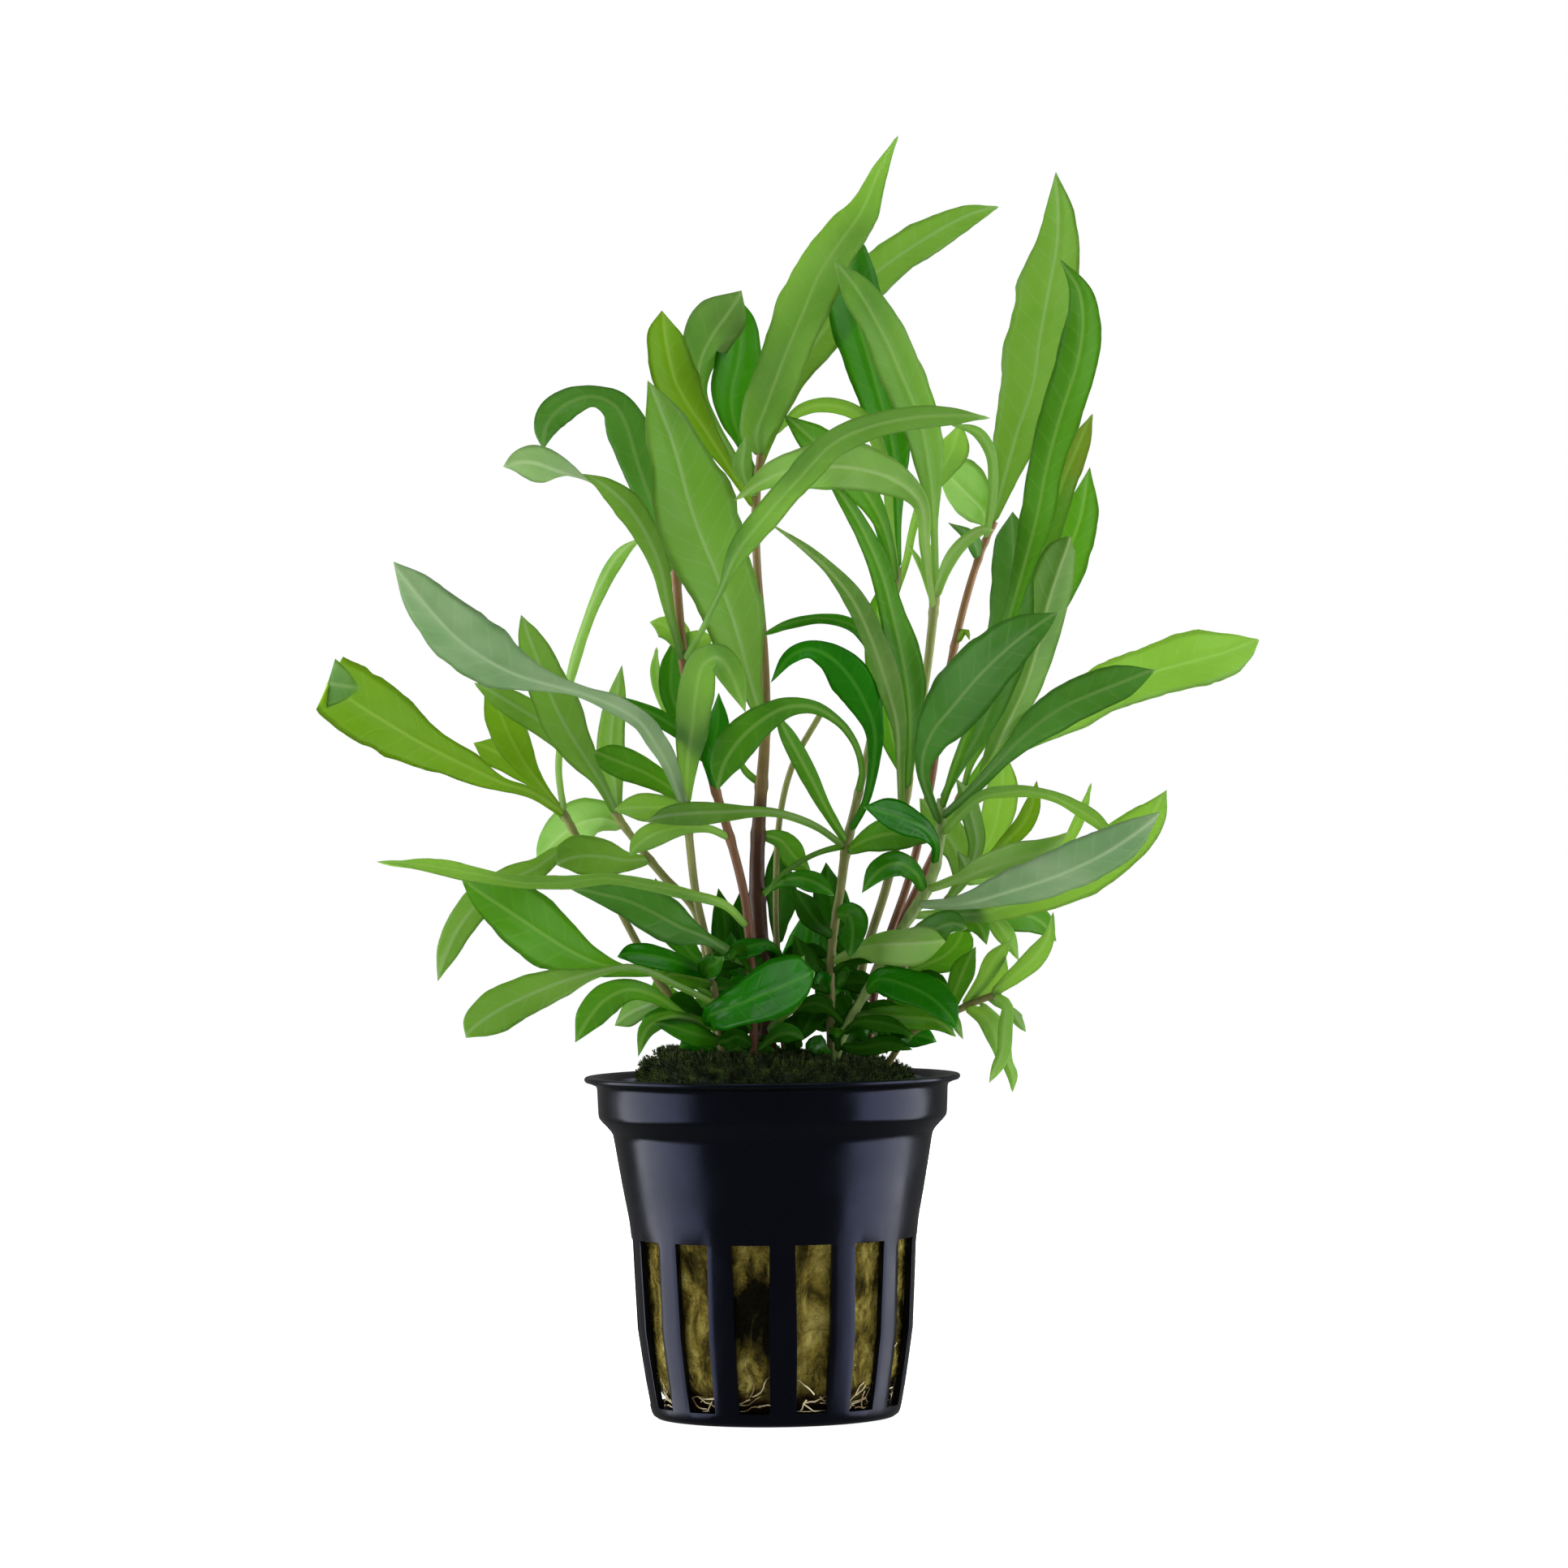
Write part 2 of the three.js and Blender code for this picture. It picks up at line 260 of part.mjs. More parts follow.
// Small leaves, one piece with the stem that they grow from: the joining height, then the path as above
const SMALL_LEAVES = {
  stem_centre: [
    [122.4, [[18.2, 130, 2.6, 1.2], [17.8, 136, 1.4, 1.4], [17, 140.6, 0.6, 1.8], [14, 146.2, -0.4, 2.2],
      [9, 147.9, -1, 2.2], [5, 147, -1.4, 1.8], [1.6, 143.6, -1.6, 0]]],
    [118, [[17.6, 126, 8, 1.4], [15.6, 132.4, 10, 1.6], [13.4, 135.4, 11, 1.6], [10.2, 139, 12, 0]]],
    [83.6, [[8.4, 88.4, -3, 1.8], [6.3, 92.6, -4.6, 2.5], [4.1, 96.8, -6, 2.7], [2.3, 100.2, -7, 2],
      [0.9, 103.4, -7.6, 0]]],
    [101, [[16.6, 108.6, -1, 2.4, 34], [15.2, 112, -2.6, 3.4, 60], [12.4, 115.2, -4.2, 3.6, 62],
      [8, 116.3, -5.8, 3.4, 62], [3.6, 115.8, -7.2, 2.8, 56], [-1, 114.2, -8.2, 0, 50]]],
    [83, [[6, 86.6, -6.6, 1.1], [1, 88.2, -9.2, 1.2], [-3, 88.4, -10.4, 1.8], [-7, 88.3, -11.4, 3],
      [-11, 88.2, -12.4, 3.4], [-14.8, 87.9, -13.2, 2.6], [-18.2, 87.2, -13.8, 0]]],
    [82.4, [[15, 84.3, -3, 3.6], [18.5, 84.9, -4.6, 5], [21.4, 84.4, -5.6, 3.8], [23, 83.6, -6, 0]]],
    [73.6, [[11.8, 72.9, -5, 3.8], [12.2, 70.4, -8, 4.4], [11.7, 66.8, -10.4, 0]]],
    [66.4, [[12.6, 68.1, -4.6, 2], [15.6, 68.7, -7.6, 4.4], [19, 68.8, -10.2, 5.7],
      [22.6, 68.9, -12.4, 5.2], [25.6, 69.2, -14, 0]]],
    [61, [[7.6, 60.2, -3, 2.6], [6.4, 58.8, -4.4, 4.2], [5.2, 56.8, -5.6, 3.6], [4.2, 54.8, -6.4, 0]]],
    [83.4, [[7, 82.3, -2.6, 0.8], [3.4, 80.4, -5, 0.8], [0.8, 78.2, -7.2, 0.8], [-0.9, 76, -8.8, 0]]],
    [62, [[6.4, 64, -4, 2.8], [4.6, 66.8, -5.6, 4], [3.4, 70.4, -6.8, 0]]],
    [70, [[6.8, 72, -3.4, 2.4], [5, 74.4, -4.6, 3.6], [3.2, 77.4, -5.4, 0]]],
  ],
  stem_inner_right: [
    [92.6, [[17.9, 99.6, 6, 4.4], [17.2, 106, 7, 5], [16.3, 112, 8, 4.8], [16, 117, 8.6, 3.4],
      [16.6, 121.4, 9, 0]]],
    [119.2, [[23.6, 126, 3.6, 2], [22.2, 131.2, 4.6, 0]]],
    [118.8, [[22.6, 124.4, 4.4, 1.1], [20.6, 127.6, 5.2, 0]]],
    [119, [[26.5, 124.5, -0.8, 1.8], [28.6, 127.4, -1.6, 1.8], [31.4, 129.3, -2, 1.5],
      [33.4, 129.3, -2.4, 0]]],
    [56, [[10.4, 58, 5, 3], [8.4, 61.4, 6.6, 4.4], [7.4, 65.6, 8, 0]]],
    [64, [[11.4, 67.4, 5.6, 3], [9.6, 71.6, 7.4, 5.4], [8.6, 76.6, 8.8, 4.6], [8.2, 81, 9.8, 0]]],
  ],
  stem_outer_right: [
    [125, [[30, 128, 3.4, 2.2], [26.6, 130.5, 2.6, 0]]],
    [127.6, [[33.2, 135, 2.4, 1.5], [33, 140.4, 2, 1.7], [31, 143.6, 1.4, 1.6], [27, 144.9, 1, 0]]],
    [112.4, [[29, 114.6, 4.4, 1.4], [29.6, 113.2, 4, 0]]],
    [56, [[18.6, 58.6, 6.6, 3.4], [22, 60.4, 7.4, 5], [25.4, 61.6, 8, 0]]],
  ],
  stem_inner_left: [
    [91.6, [[-8.2, 96.6, -9, 2.8], [-7.2, 101.4, -9.6, 3.2], [-7.2, 106, -9.8, 0]]],
    [111.6, [[-13.8, 114.6, -4.6, 4.4], [-15.4, 115.9, -4.2, 3], [-17.2, 116.4, -4, 0]]],
    [111.2, [[-10.9, 112.7, -6, 4.2], [-9.6, 113.6, -5.4, 3.8], [-8, 114.2, -5, 0]]],
    [98.6, [[-12.8, 102, -4.6, 2.6], [-14.3, 106, -4, 3.4], [-14.3, 110, -3.8, 2.8],
      [-13.9, 113.6, -3.6, 0]]],
    [96.4, [[-13.2, 100.6, -2.8, 0.9], [-15.6, 105.4, -2, 1.4], [-16.4, 109.4, -1.6, 1.5],
      [-16.2, 112.8, -1.4, 0]]],
    [95.6, [[-12.4, 99.6, -9.6, 2], [-15.4, 101.9, -10.2, 2.6], [-18.4, 103.5, -10.4, 2],
      [-21.4, 104.7, -10.6, 1.4], [-24, 105.6, -10.8, 0]]],
    [84.6, [[-8.8, 86, -9.6, 1.2], [-12, 86.2, -11.6, 1.8], [-14.6, 85.9, -12.8, 2.8],
      [-17, 85.1, -13.6, 3.4], [-19, 83.8, -14.2, 2.6], [-20.6, 82.2, -14.8, 0]]],
    [66, [[-6.4, 68, -9, 1.8], [-9.6, 70, -10.4, 2], [-13.4, 71.6, -11.4, 5.4], [-17, 73.6, -12.2, 6],
      [-20.8, 75.4, -12.8, 5.2], [-24.8, 76.5, -13.4, 3], [-29.4, 77.6, -14, 0]]],
    [54, [[-5.2, 55.4, -9, 3], [-6.8, 54.8, -10, 2.8], [-8, 54.8, -10.4, 0]]],
  ],
  stem_main: [
    [134.4, [[-2.7, 136.8, -7.4, 1.6], [-3.2, 139, -8, 2.8], [-2.9, 141.4, -8.4, 2],
      [-2.6, 143.8, -8.6, 0]]],
    [92.4, [[-3.6, 94.6, -3, 1], [-4.8, 98, -2, 0]]],
    [56, [[1.4, 58.6, -7, 1.6], [3.2, 61.4, -9.4, 3], [3.6, 64.6, -11.4, 3.4], [4.9, 67.4, -12.6, 0]]],
    [85, [[1.6, 84, -1.6, 3], [3.6, 81.6, -0.4, 3.6], [6, 79.6, 0.4, 0]]],
    [76, [[1.6, 78, -6, 1.2], [4.4, 78.5, -8, 2.4], [7, 77.6, -9.4, 3], [9.4, 76, -10.4, 0]]],
    [62, [[-3.8, 64.6, -2, 3], [-5.4, 67.4, -1, 4], [-5.8, 71, 0, 0]]],
  ],
  stem_far_left: [
    [87.8, [[-33, 92, 1.4, 1.6], [-35.3, 95, 2.4, 3.2], [-37.6, 99, 3.4, 5], [-39.3, 103, 4.2, 4.8],
      [-40.2, 106, 4.8, 3], [-40.9, 108.8, 5.2, 0]]],
    [86.6, [[-33.6, 92.4, 6, 1.8], [-37.2, 95.6, 7.4, 3.6], [-40.2, 97.6, 8.2, 4.6],
      [-43.2, 99, 8.8, 0]]],
    [88.4, [[-30.8, 95, 2.6, 1], [-30.4, 100, 3, 1], [-29.7, 104.8, 3, 1.2], [-28.3, 110.6, 2.6, 1.5],
      [-26.2, 117, 1.8, 1.6], [-23.5, 123, 0.8, 2.2], [-21, 126.7, 0, 1.8], [-18, 128.9, -0.8, 0]]],
    [56, [[-13.5, 58.6, 4, 3.4], [-15.6, 61.4, 5.6, 4.6], [-17, 64.6, 7, 0]]],
    [58, [[-9.6, 60.4, 5, 3], [-7.6, 63.6, 6.6, 4.6], [-6.4, 67.6, 8, 0]]],
    [62, [[-17.6, 60.4, 3.4, 3], [-20.4, 59.2, 5, 4], [-23, 57.4, 6.4, 0]]],
  ],
  stem_mid_left: [
    [87.6, [[-22.4, 92.8, 3, 2.4], [-22.9, 97, 4, 4], [-22.7, 101.5, 4.4, 3.8], [-22, 105.5, 4.6, 2.8],
      [-21.3, 110.2, 4.8, 0]]],
    [87.4, [[-25.2, 93, 1.2, 1.2], [-29.4, 98.2, 1.6, 2.6], [-33, 101.5, 1.4, 3.8], [-36.6, 103.9, 0.8, 4.2],
      [-40, 106, 0, 3.2], [-43, 107.8, -0.8, 0]]],
    [86.4, [[-24.6, 87.6, 4, 4.8], [-27.6, 87, 6, 7.6], [-30.4, 85.2, 7.6, 7], [-32.6, 82.8, 8.6, 4.4],
      [-34, 80.4, 9.2, 0]]],
    [81.6, [[-21, 81.4, -2.8, 3], [-24.5, 82, -4.6, 5.8], [-27.6, 82.1, -6.2, 6.2], [-29.8, 81.6, -7.2, 4.6],
      [-31.2, 81, -7.8, 0]]],
    [57, [[-11.4, 58.6, -2, 3.6], [-13.6, 60, -3.4, 4.4], [-15.4, 60.2, -4.6, 0]]],
    [62, [[-7.4, 65, 0.8, 3], [-6.8, 69, 2, 4.4], [-7, 73.6, 3, 3], [-7.6, 77.4, 3.6, 0]]],
    [66, [[-12, 68, 1, 2.8], [-14.4, 71.4, 2, 4.4], [-16, 75.6, 2.6, 3], [-16.8, 79, 3, 0]]],
  ],
  stem_low_left: [
    [89.8, [[-15.5, 92.6, -6.6, 3], [-18.6, 94.4, -6.8, 4.4], [-21.6, 95.7, -7, 4.8],
      [-24, 96.7, -7.2, 3.6], [-25.8, 97.5, -7.4, 0]]],
    [86, [[-13.6, 88.8, -9, 2.6], [-16.8, 89.1, -10.6, 4.4], [-19.8, 89.1, -12, 3.6],
      [-22.7, 89, -13.2, 0]]],
    [64.4, [[-12.4, 65.9, -9, 2.4], [-15, 66.8, -11.4, 3.2], [-18, 67.5, -13, 3.4],
      [-20.6, 67.7, -14.2, 2.7], [-22.5, 67.5, -15, 0]]],
    [57, [[-9, 58.5, -11, 2.6], [-7, 59.3, -13.6, 5], [-3.6, 60.6, -16.2, 6.6], [0, 62, -18.4, 7.6],
      [3.2, 63.4, -20, 7.2], [5, 64.2, -21, 5.4], [6.4, 65, -21.6, 0]]],
    [64, [[-9.2, 65.6, -9, 3], [-8, 66.2, -11, 2.8], [-6.9, 67.4, -12, 0]]],
    [54.6, [[-13.4, 59.2, -9.4, 1.2], [-17.4, 61.8, -11.4, 2.2], [-21, 62.6, -13.2, 3.2],
      [-24.2, 61.2, -14.6, 4.6], [-26.6, 58.6, -15.8, 4.2], [-28.8, 55, -16.8, 0]]],
    [56.6, [[-12, 58.2, -9, 1.6], [-15.4, 58.4, -11, 2.2], [-18.2, 56.8, -12.6, 2.4],
      [-19.6, 52.8, -13.8, 0]]],
    [55, [[-10.4, 55.6, -8.4, 3], [-13.4, 56.6, -10.6, 3.4], [-17.4, 57.8, -12.6, 0]]],
    [63.4, [[-11.4, 64.2, -8, 2.8], [-13.8, 64.6, -9.4, 3.6], [-16, 64.4, -10.6, 0]]],
  ],
  stem_low_right: [
    [80.4, [[24.2, 83.4, -5.6, 1.4], [22.6, 85.6, -7.4, 3], [19.8, 87, -9.4, 4.6], [16.8, 88, -11.4, 3.8],
      [13.8, 89.1, -13.2, 0]]],
    [76.4, [[21.2, 79.2, -6.4, 2.4], [18.6, 80.6, -8.6, 3.8], [15.8, 79.4, -10.6, 3.2],
      [13.4, 76.4, -12, 0]]],
    [62, [[16, 63.6, -9.4, 3.4], [19.6, 62.7, -12.4, 5.2], [23, 61, -15, 5.2], [25.4, 58.8, -17, 3.8],
      [27.1, 56.2, -18.4, 0]]],
    [56, [[13, 57.4, -9, 1.6], [17, 57, -12, 2.4], [21, 55.4, -14.6, 0]]],
    [54, [[13, 53.6, -8, 2], [17, 54.2, -10.4, 2.6], [20.6, 53.4, -12.6, 0]]],
    [58.4, [[16.4, 58.2, -8.6, 3], [20.4, 57.9, -10.6, 3.4], [24, 57.4, -12.2, 3.2],
      [27, 55.2, -13.4, 0]]],
    [66, [[19.6, 67.2, -8, 2.6], [23, 70, -9.6, 4.4], [26.4, 71.6, -11, 4], [28.8, 71, -12, 0]]],
  ],
  stem_side_right: [
    [79.4, [[31, 81.6, 2.4, 1.4], [32.8, 84.8, 3, 3.6], [33.8, 88.6, 3.6, 5], [34.4, 92.6, 4, 4.2],
      [34.4, 97.2, 4.4, 0]]],
    [79, [[32.4, 81.4, 0, 1.4], [35, 83.8, -0.8, 2.2], [37.3, 86.2, -1.2, 2.8], [38.7, 89.2, -1.6, 2.4],
      [39.2, 92.6, -1.8, 0]]],
    [77.6, [[35.6, 78.6, 4.4, 1], [40.2, 79.9, 5.4, 1.2], [43.7, 83.6, 5.8, 1.6], [45.8, 87.8, 6, 1.5],
      [47.2, 92.2, 6.2, 0]]],
    [78.6, [[30.2, 83.6, -2, 2.6], [29.5, 87.4, -3, 3], [28.7, 90.4, -3.6, 2.4], [27.4, 93, -4.2, 0]]],
    [77.2, [[27.4, 81.8, 2.6, 4.2], [25.6, 85, 3, 5.6], [23.8, 87.8, 3.2, 4], [22, 90.2, 3.4, 0]]],
    [75.4, [[27.9, 78, -2.4, 2], [28.6, 79.9, -4, 2.8], [27.4, 82.4, -5, 0]]],
    [64, [[22.6, 65.6, 2.6, 3.4], [25.6, 67, 3.4, 5], [27.8, 69.4, 4, 4], [28.4, 71.6, 4.4, 0]]],
    [60, [[20.6, 60.8, -0.8, 3], [23.6, 61.4, -2.4, 4.4], [26.6, 60.8, -4, 0]]],
    [70.5, [[24.4, 71.8, -0.6, 2.4], [27.6, 72.6, -1.6, 3.6], [30.4, 71.6, -2.4, 3.4],
      [31.6, 68.6, -3, 0]]],
    [72, [[31, 73.4, 2.4, 1.4], [34.2, 70, 1.4, 3], [36.3, 66.2, 0.6, 0]]],
  ],
  stem_edge_right: [
    [61.2, [[34.3, 59.6, -8.4, 1.8], [34.1, 56.4, -9.6, 2.2], [33.8, 53, -10.4, 2],
      [32.8, 50.6, -11, 1.6], [31.7, 48.4, -11.4, 0]]],
    [59.6, [[31.4, 57.6, -8, 2.8], [32.6, 54.8, -8.6, 2.4], [32.9, 51.8, -9, 0]]],
    [60.8, [[35.2, 58.8, -5.6, 1.2], [36, 57.4, -5.4, 1.8], [37.2, 55.8, -5.2, 0]]],
    [60.4, [[33.6, 56.6, -4.6, 1.4], [34.4, 51.4, -4.4, 1.6], [35.1, 49.4, -4.4, 1.6],
      [35.1, 47, -4.4, 0]]],
    [61, [[36.2, 64.4, -7.6, 2.6], [38.9, 66.8, -8.4, 3], [40.8, 69.8, -9, 1.8], [41.4, 73.4, -9.4, 0]]],
    [58.4, [[27, 61.6, -6.8, 2.6], [28.4, 65, -7.4, 3.4], [30, 68.4, -8, 0]]],
    [59.4, [[31, 63.2, -4.6, 2], [33, 66.6, -4, 2.6], [35.6, 69.6, -3.6, 0]]],
    [56.9, [[24, 58.2, -8, 2.2], [26.4, 57.6, -10.4, 2], [28, 54.8, -12, 0]]],
    [59.8, [[31.8, 61.8, -5, 1.6], [33.6, 64, -4.6, 2.2], [34.4, 67, -4.2, 0]]],
  ],
  stem_thin: [
    [66.6, [[0.9, 68.1, -3.8, 1], [-1, 69, -6.8, 1.8], [-4, 68.3, -8.6, 2.8], [-7.4, 66.8, -9.8, 0]]],
    [58, [[2.8, 61, 2, 3.4], [4.2, 65.4, 3.6, 6], [5.4, 70.4, 5, 4.8], [6, 75.4, 6, 0]]],
    [60, [[-0.6, 63.6, 2, 3], [-2.8, 67.6, 3.6, 5.8], [-3.8, 72.4, 5, 5], [-4.2, 77.4, 6, 0]]],
    [69, [[1, 72.4, 3.4, 3], [1.4, 76, 4.8, 5], [1.2, 79.8, 6, 3.6], [0.8, 83.4, 6.8, 0]]],
    [55, [[-0.6, 57.6, 4.4, 3.4], [-2.8, 60.4, 7.4, 5.4], [-5.6, 63.2, 9.8, 4.4], [-8.2, 65.6, 11.4, 0]]],
  ],
  stem_back_right: [
    [58, [[11.6, 61, 10, 3.4], [9.6, 65, 11.6, 5], [8.6, 70, 13, 3.6], [8.4, 74, 14, 0]]],
    [62, [[18.6, 64.6, 12, 3.4], [22, 67.4, 13.6, 5], [25, 70.4, 14.8, 0]]],
    [54, [[15.4, 56, 11.4, 3], [19.4, 58, 14.4, 5], [23.4, 60, 16.8, 4.2], [26.6, 61.6, 18.4, 0]]],
  ],
};

const eye = new THREE.Vector3(EYE_ACROSS, -EYE_DISTANCE, EYE_UP);

const wasm = await Module();
wasm.setup();

// A closed geometry as a solid that can be joined and cut
function toSolid(geometry) {
  const bare = geometry.clone();
  bare.deleteAttribute('normal');
  bare.deleteAttribute('uv');
  const merged = mergeVertices(bare, 1e-5);
  return new wasm.Manifold(new wasm.Mesh({
    numProp: 3,
    vertProperties: new Float32Array(merged.attributes.position.array),
    triVerts: new Uint32Array(merged.index.array),
  }));
}

function toGeometry(solid) {
  const mesh = solid.getMesh();
  const geometry = new THREE.BufferGeometry();
  const points = new Float32Array(mesh.numProp === 3 ? mesh.vertProperties : 0);
  geometry.setAttribute('position', new THREE.BufferAttribute(points, 3));
  geometry.setIndex(new THREE.BufferAttribute(new Uint32Array(mesh.triVerts), 1));
  geometry.computeVertexNormals();
  return geometry;
}

// The place along a stem at a height on the sight plane
function joinPoint(stemName, height) {
  const rows = STEMS[stemName];
  const next = Math.max(1, rows.findIndex((row) => row[1] >= height));
  const [low, high] = [rows[next - 1], rows[next]];
  const share = (height - low[1]) / (high[1] - low[1]);
  return low.slice(0, 3).map((value, axis) => value + (high[axis] - value) * share);
}

// A long piece bent along its path. Its section has flat sides in equal steps around the rib: four for a
// leaf, which gives a thin lens with a ridge on each face, and more for a stem. A roll turns a blade about
// its rib and makes it wider, so that it fills the width in the rows when it is seen from in front.
function bentPiece(rows, { sides, spacing, thickness = null, extra = 0, roll = 0 }) {
  const places = rows.map(onSight);
  const rib = new THREE.CatmullRomCurve3(places, false, 'centripetal');
  const sizes = new THREE.CatmullRomCurve3(
    rows.map((row) => new THREE.Vector3(row[3], row[4] ?? 0, 0)), false, 'catmullrom', 0.5);
  const pointed = rows[rows.length - 1][3] === 0;
  const stations = Math.max(pointed ? 3 : 2, Math.round(rib.getLength() / spacing));
  const piece = new THREE.CylinderGeometry(pointed ? 0 : 1, 1, 1, sides, stations);
  const spots = piece.attributes.position;
  for (let index = 0; index < spots.count; index += 1) {
    const share = spots.getY(index) + 0.5;
    const place = rib.getPoint(share);
    const along = rib.getTangent(share);
    const sight = place.clone().sub(eye).normalize();
    const size = sizes.getPoint(share);
    const across = new THREE.Vector3().crossVectors(sight, along).normalize();
    across.applyAxisAngle(along, THREE.MathUtils.degToRad(size.y) + roll);
    const facing = new THREE.Vector3().crossVectors(across, along).normalize();
    const reach = Math.hypot(spots.getX(index), spots.getZ(index));
    if (reach > 0) {
      const width = Math.max(size.x, LEAST_WIDTH) / Math.cos(roll) + 2 * extra;
      const depth = thickness === null ? width : thickness;
      place.addScaledVector(across, spots.getX(index) / reach * width / 2);
      place.addScaledVector(facing, spots.getZ(index) / reach * depth / 2);
    }
    if (share === 0 || share === 1) {
      place.addScaledVector(along, (2 * share - 1) * extra);
    }
    spots.setXYZ(index, place.x, place.y, place.z);
  }
  return piece;
}

// A profile, as radius and height, that starts and ends on the pot's axis and is turned about it
function turned(profile, sides) {
  const outline = profile.map(([radius, height]) => new THREE.Vector2(radius, height));
  return new THREE.LatheGeometry(outline, sides).rotateX(Math.PI / 2);
}

// An even lumpiness over a surface, between -1 and 1
function lump(x, y, z, size) {
  return (Math.sin(x / size + 1.3 * Math.sin(z / size)) + Math.sin(y / size + 1.7 * Math.sin(x / size))
    + Math.sin(z / size + 2.1 * Math.cos(y / size))) / 3;
}

function roughen(geometry, size, amount, mayMove) {
  const spots = geometry.attributes.position;
  const centre = new THREE.Vector3(0, 0, WOOL_TOP / 2);
  for (let index = 0; index < spots.count; index += 1) {
    const spot = new THREE.Vector3().fromBufferAttribute(spots, index);
    if (mayMove(spot)) {
      const outward = spot.clone().sub(centre).normalize();
      spot.addScaledVector(outward, amount * lump(spot.x, spot.y, spot.z, size));
      spots.setXYZ(index, spot.x, spot.y, spot.z);
    }
  }
  return geometry;
}

// The pot's outer wall from the foot to the lip, as radius and height
const outerWall = [
  [FOOT_RADIUS, 0], [FOOT_RADIUS + FOOT_BEVEL, FOOT_BEVEL / 2], [BODY_RADIUS, BODY_HEIGHT],
  [WAIST_RADIUS, WAIST_HEIGHT], [BEND_RADIUS, BEND_HEIGHT], [NECK_RADIUS, STEP_BOTTOM - 0.7],
  [NECK_RADIUS + 0.3, STEP_BOTTOM], [BAND_RADIUS - 0.15, BAND_BOTTOM], [BAND_RADIUS, BAND_TOP],
  [LIP_RADIUS, POT_HEIGHT - LIP_THICKNESS], [LIP_RADIUS, POT_HEIGHT],
];

// The inner wall from the mouth down to the floor
const innerWall = [
  [BAND_RADIUS + 0.25, POT_HEIGHT], [BAND_RADIUS - WALL, BAND_TOP - 0.2],
  [BAND_RADIUS - WALL, BAND_BOTTOM + 0.6], [NECK_RADIUS - WALL, STEP_BOTTOM - 0.3],
  [BEND_RADIUS - WALL, BEND_HEIGHT], [WAIST_RADIUS - WALL, WAIST_HEIGHT],
  [BODY_RADIUS - WALL, BODY_HEIGHT], [FOOT_RADIUS, FLOOR],
];

// One slot cutter: a tapering slab that stands in the wall and reaches past both of its faces
function slotCutter() {
  const outline = new THREE.Shape();
  outline.moveTo(-SLOT_WIDTH_BOTTOM / 2, SLOT_BOTTOM);
  outline.lineTo(SLOT_WIDTH_BOTTOM / 2, SLOT_BOTTOM);
  outline.lineTo(SLOT_WIDTH_TOP / 2, SLOT_TOP);
  outline.lineTo(-SLOT_WIDTH_TOP / 2, SLOT_TOP);
  const innerReach = FOOT_RADIUS - 3 * WALL;
  const slab = new THREE.ExtrudeGeometry(outline, { depth: LIP_RADIUS - innerReach, bevelEnabled: false });
  return slab.rotateX(Math.PI / 2).translate(0, -innerReach, 0);
}

function potSolid() {
  let pot = toSolid(turned([[0, 0], ...outerWall, ...innerWall, [0, FLOOR]], POT_SIDES));
  for (let slot = 0; slot < SLOT_COUNT; slot += 1) {
    pot = pot.subtract(toSolid(slotCutter().rotateZ(SLOT_TURN + (slot + 0.5) * 2 * Math.PI / SLOT_COUNT)));
  }
  for (let drain = 0; drain < DRAIN_COUNT; drain += 1) {
    const cutter = new THREE.BoxGeometry(DRAIN_END - DRAIN_START, DRAIN_WIDTH, 3 * FLOOR);
    cutter.translate((DRAIN_START + DRAIN_END) / 2, 0, FLOOR / 2);
    pot = pot.subtract(toSolid(cutter.rotateZ(drain * 2 * Math.PI / DRAIN_COUNT)));
  }
  return pot;
}

// The wool fills the pot a little inside its wall
function woolSolid() {
  const inset = GAP + WOOL_LUMP;
  const lift = FLOOR + GAP;
  const upward = innerWall.slice(2).reverse();
  const side = upward.map(([radius, height]) => [radius - inset, Math.max(height, lift)]);
  const profile = [[0, lift], ...side, [BAND_RADIUS - WALL - inset, WOOL_TOP], [0, WOOL_TOP]];
  const isSide = (spot) => spot.z > FLOOR + 1 && spot.z < WOOL_TOP - 1;
  return toSolid(roughen(turned(profile, WOOL_SIDES), WOOL_LUMP_SPACING, WOOL_LUMP, isSide));
}

// The moss is a low cushion on the wool, higher at the left
function mossSolid() {
  const bottom = WOOL_TOP + GAP;
  const profile = [
    [0, bottom], [MOSS_RADIUS + MOSS_SKIRT, bottom], [MOSS_RADIUS + MOSS_SKIRT, bottom + 1.6],
    [MOSS_RADIUS, MOSS_TOP - 3], [MOSS_RADIUS - 2.4, MOSS_TOP - 0.9], [MOSS_RADIUS - 6, MOSS_TOP - 0.2],
    [MOSS_RADIUS / 2.6, MOSS_TOP], [0, MOSS_TOP],
  ];
  const moss = turned(profile, MOSS_SIDES).scale(1, MOSS_DEPTH_SCALE, 1);
  const spots = moss.attributes.position;
  for (let index = 0; index < spots.count; index += 1) {
    const lift = (spots.getZ(index) - bottom) / (MOSS_TOP - bottom);
    spots.setZ(index, spots.getZ(index) - lift * MOSS_FALL * (spots.getX(index) + MOSS_RADIUS));
  }
  return toSolid(roughen(moss, MOSS_LUMP_SPACING, MOSS_LUMP, (spot) => spot.z > bottom + GAP));
}

const looks = {
  plastic: { color: 0x16171f, roughness: 0.28, metalness: 0 },
  wool: { color: 0x8c8a42, roughness: 0.95, metalness: 0 },
  moss: { color: 0x2b3d0f, roughness: 0.95, metalness: 0 },
  stem: { color: 0x8f8a52, roughness: 0.5, metalness: 0 },
  bark: { color: 0x7c4a34, roughness: 0.55, metalness: 0 },
  leaf: { color: 0x4f8f28, roughness: 0.4, metalness: 0 },
};

const plant = new THREE.Group();

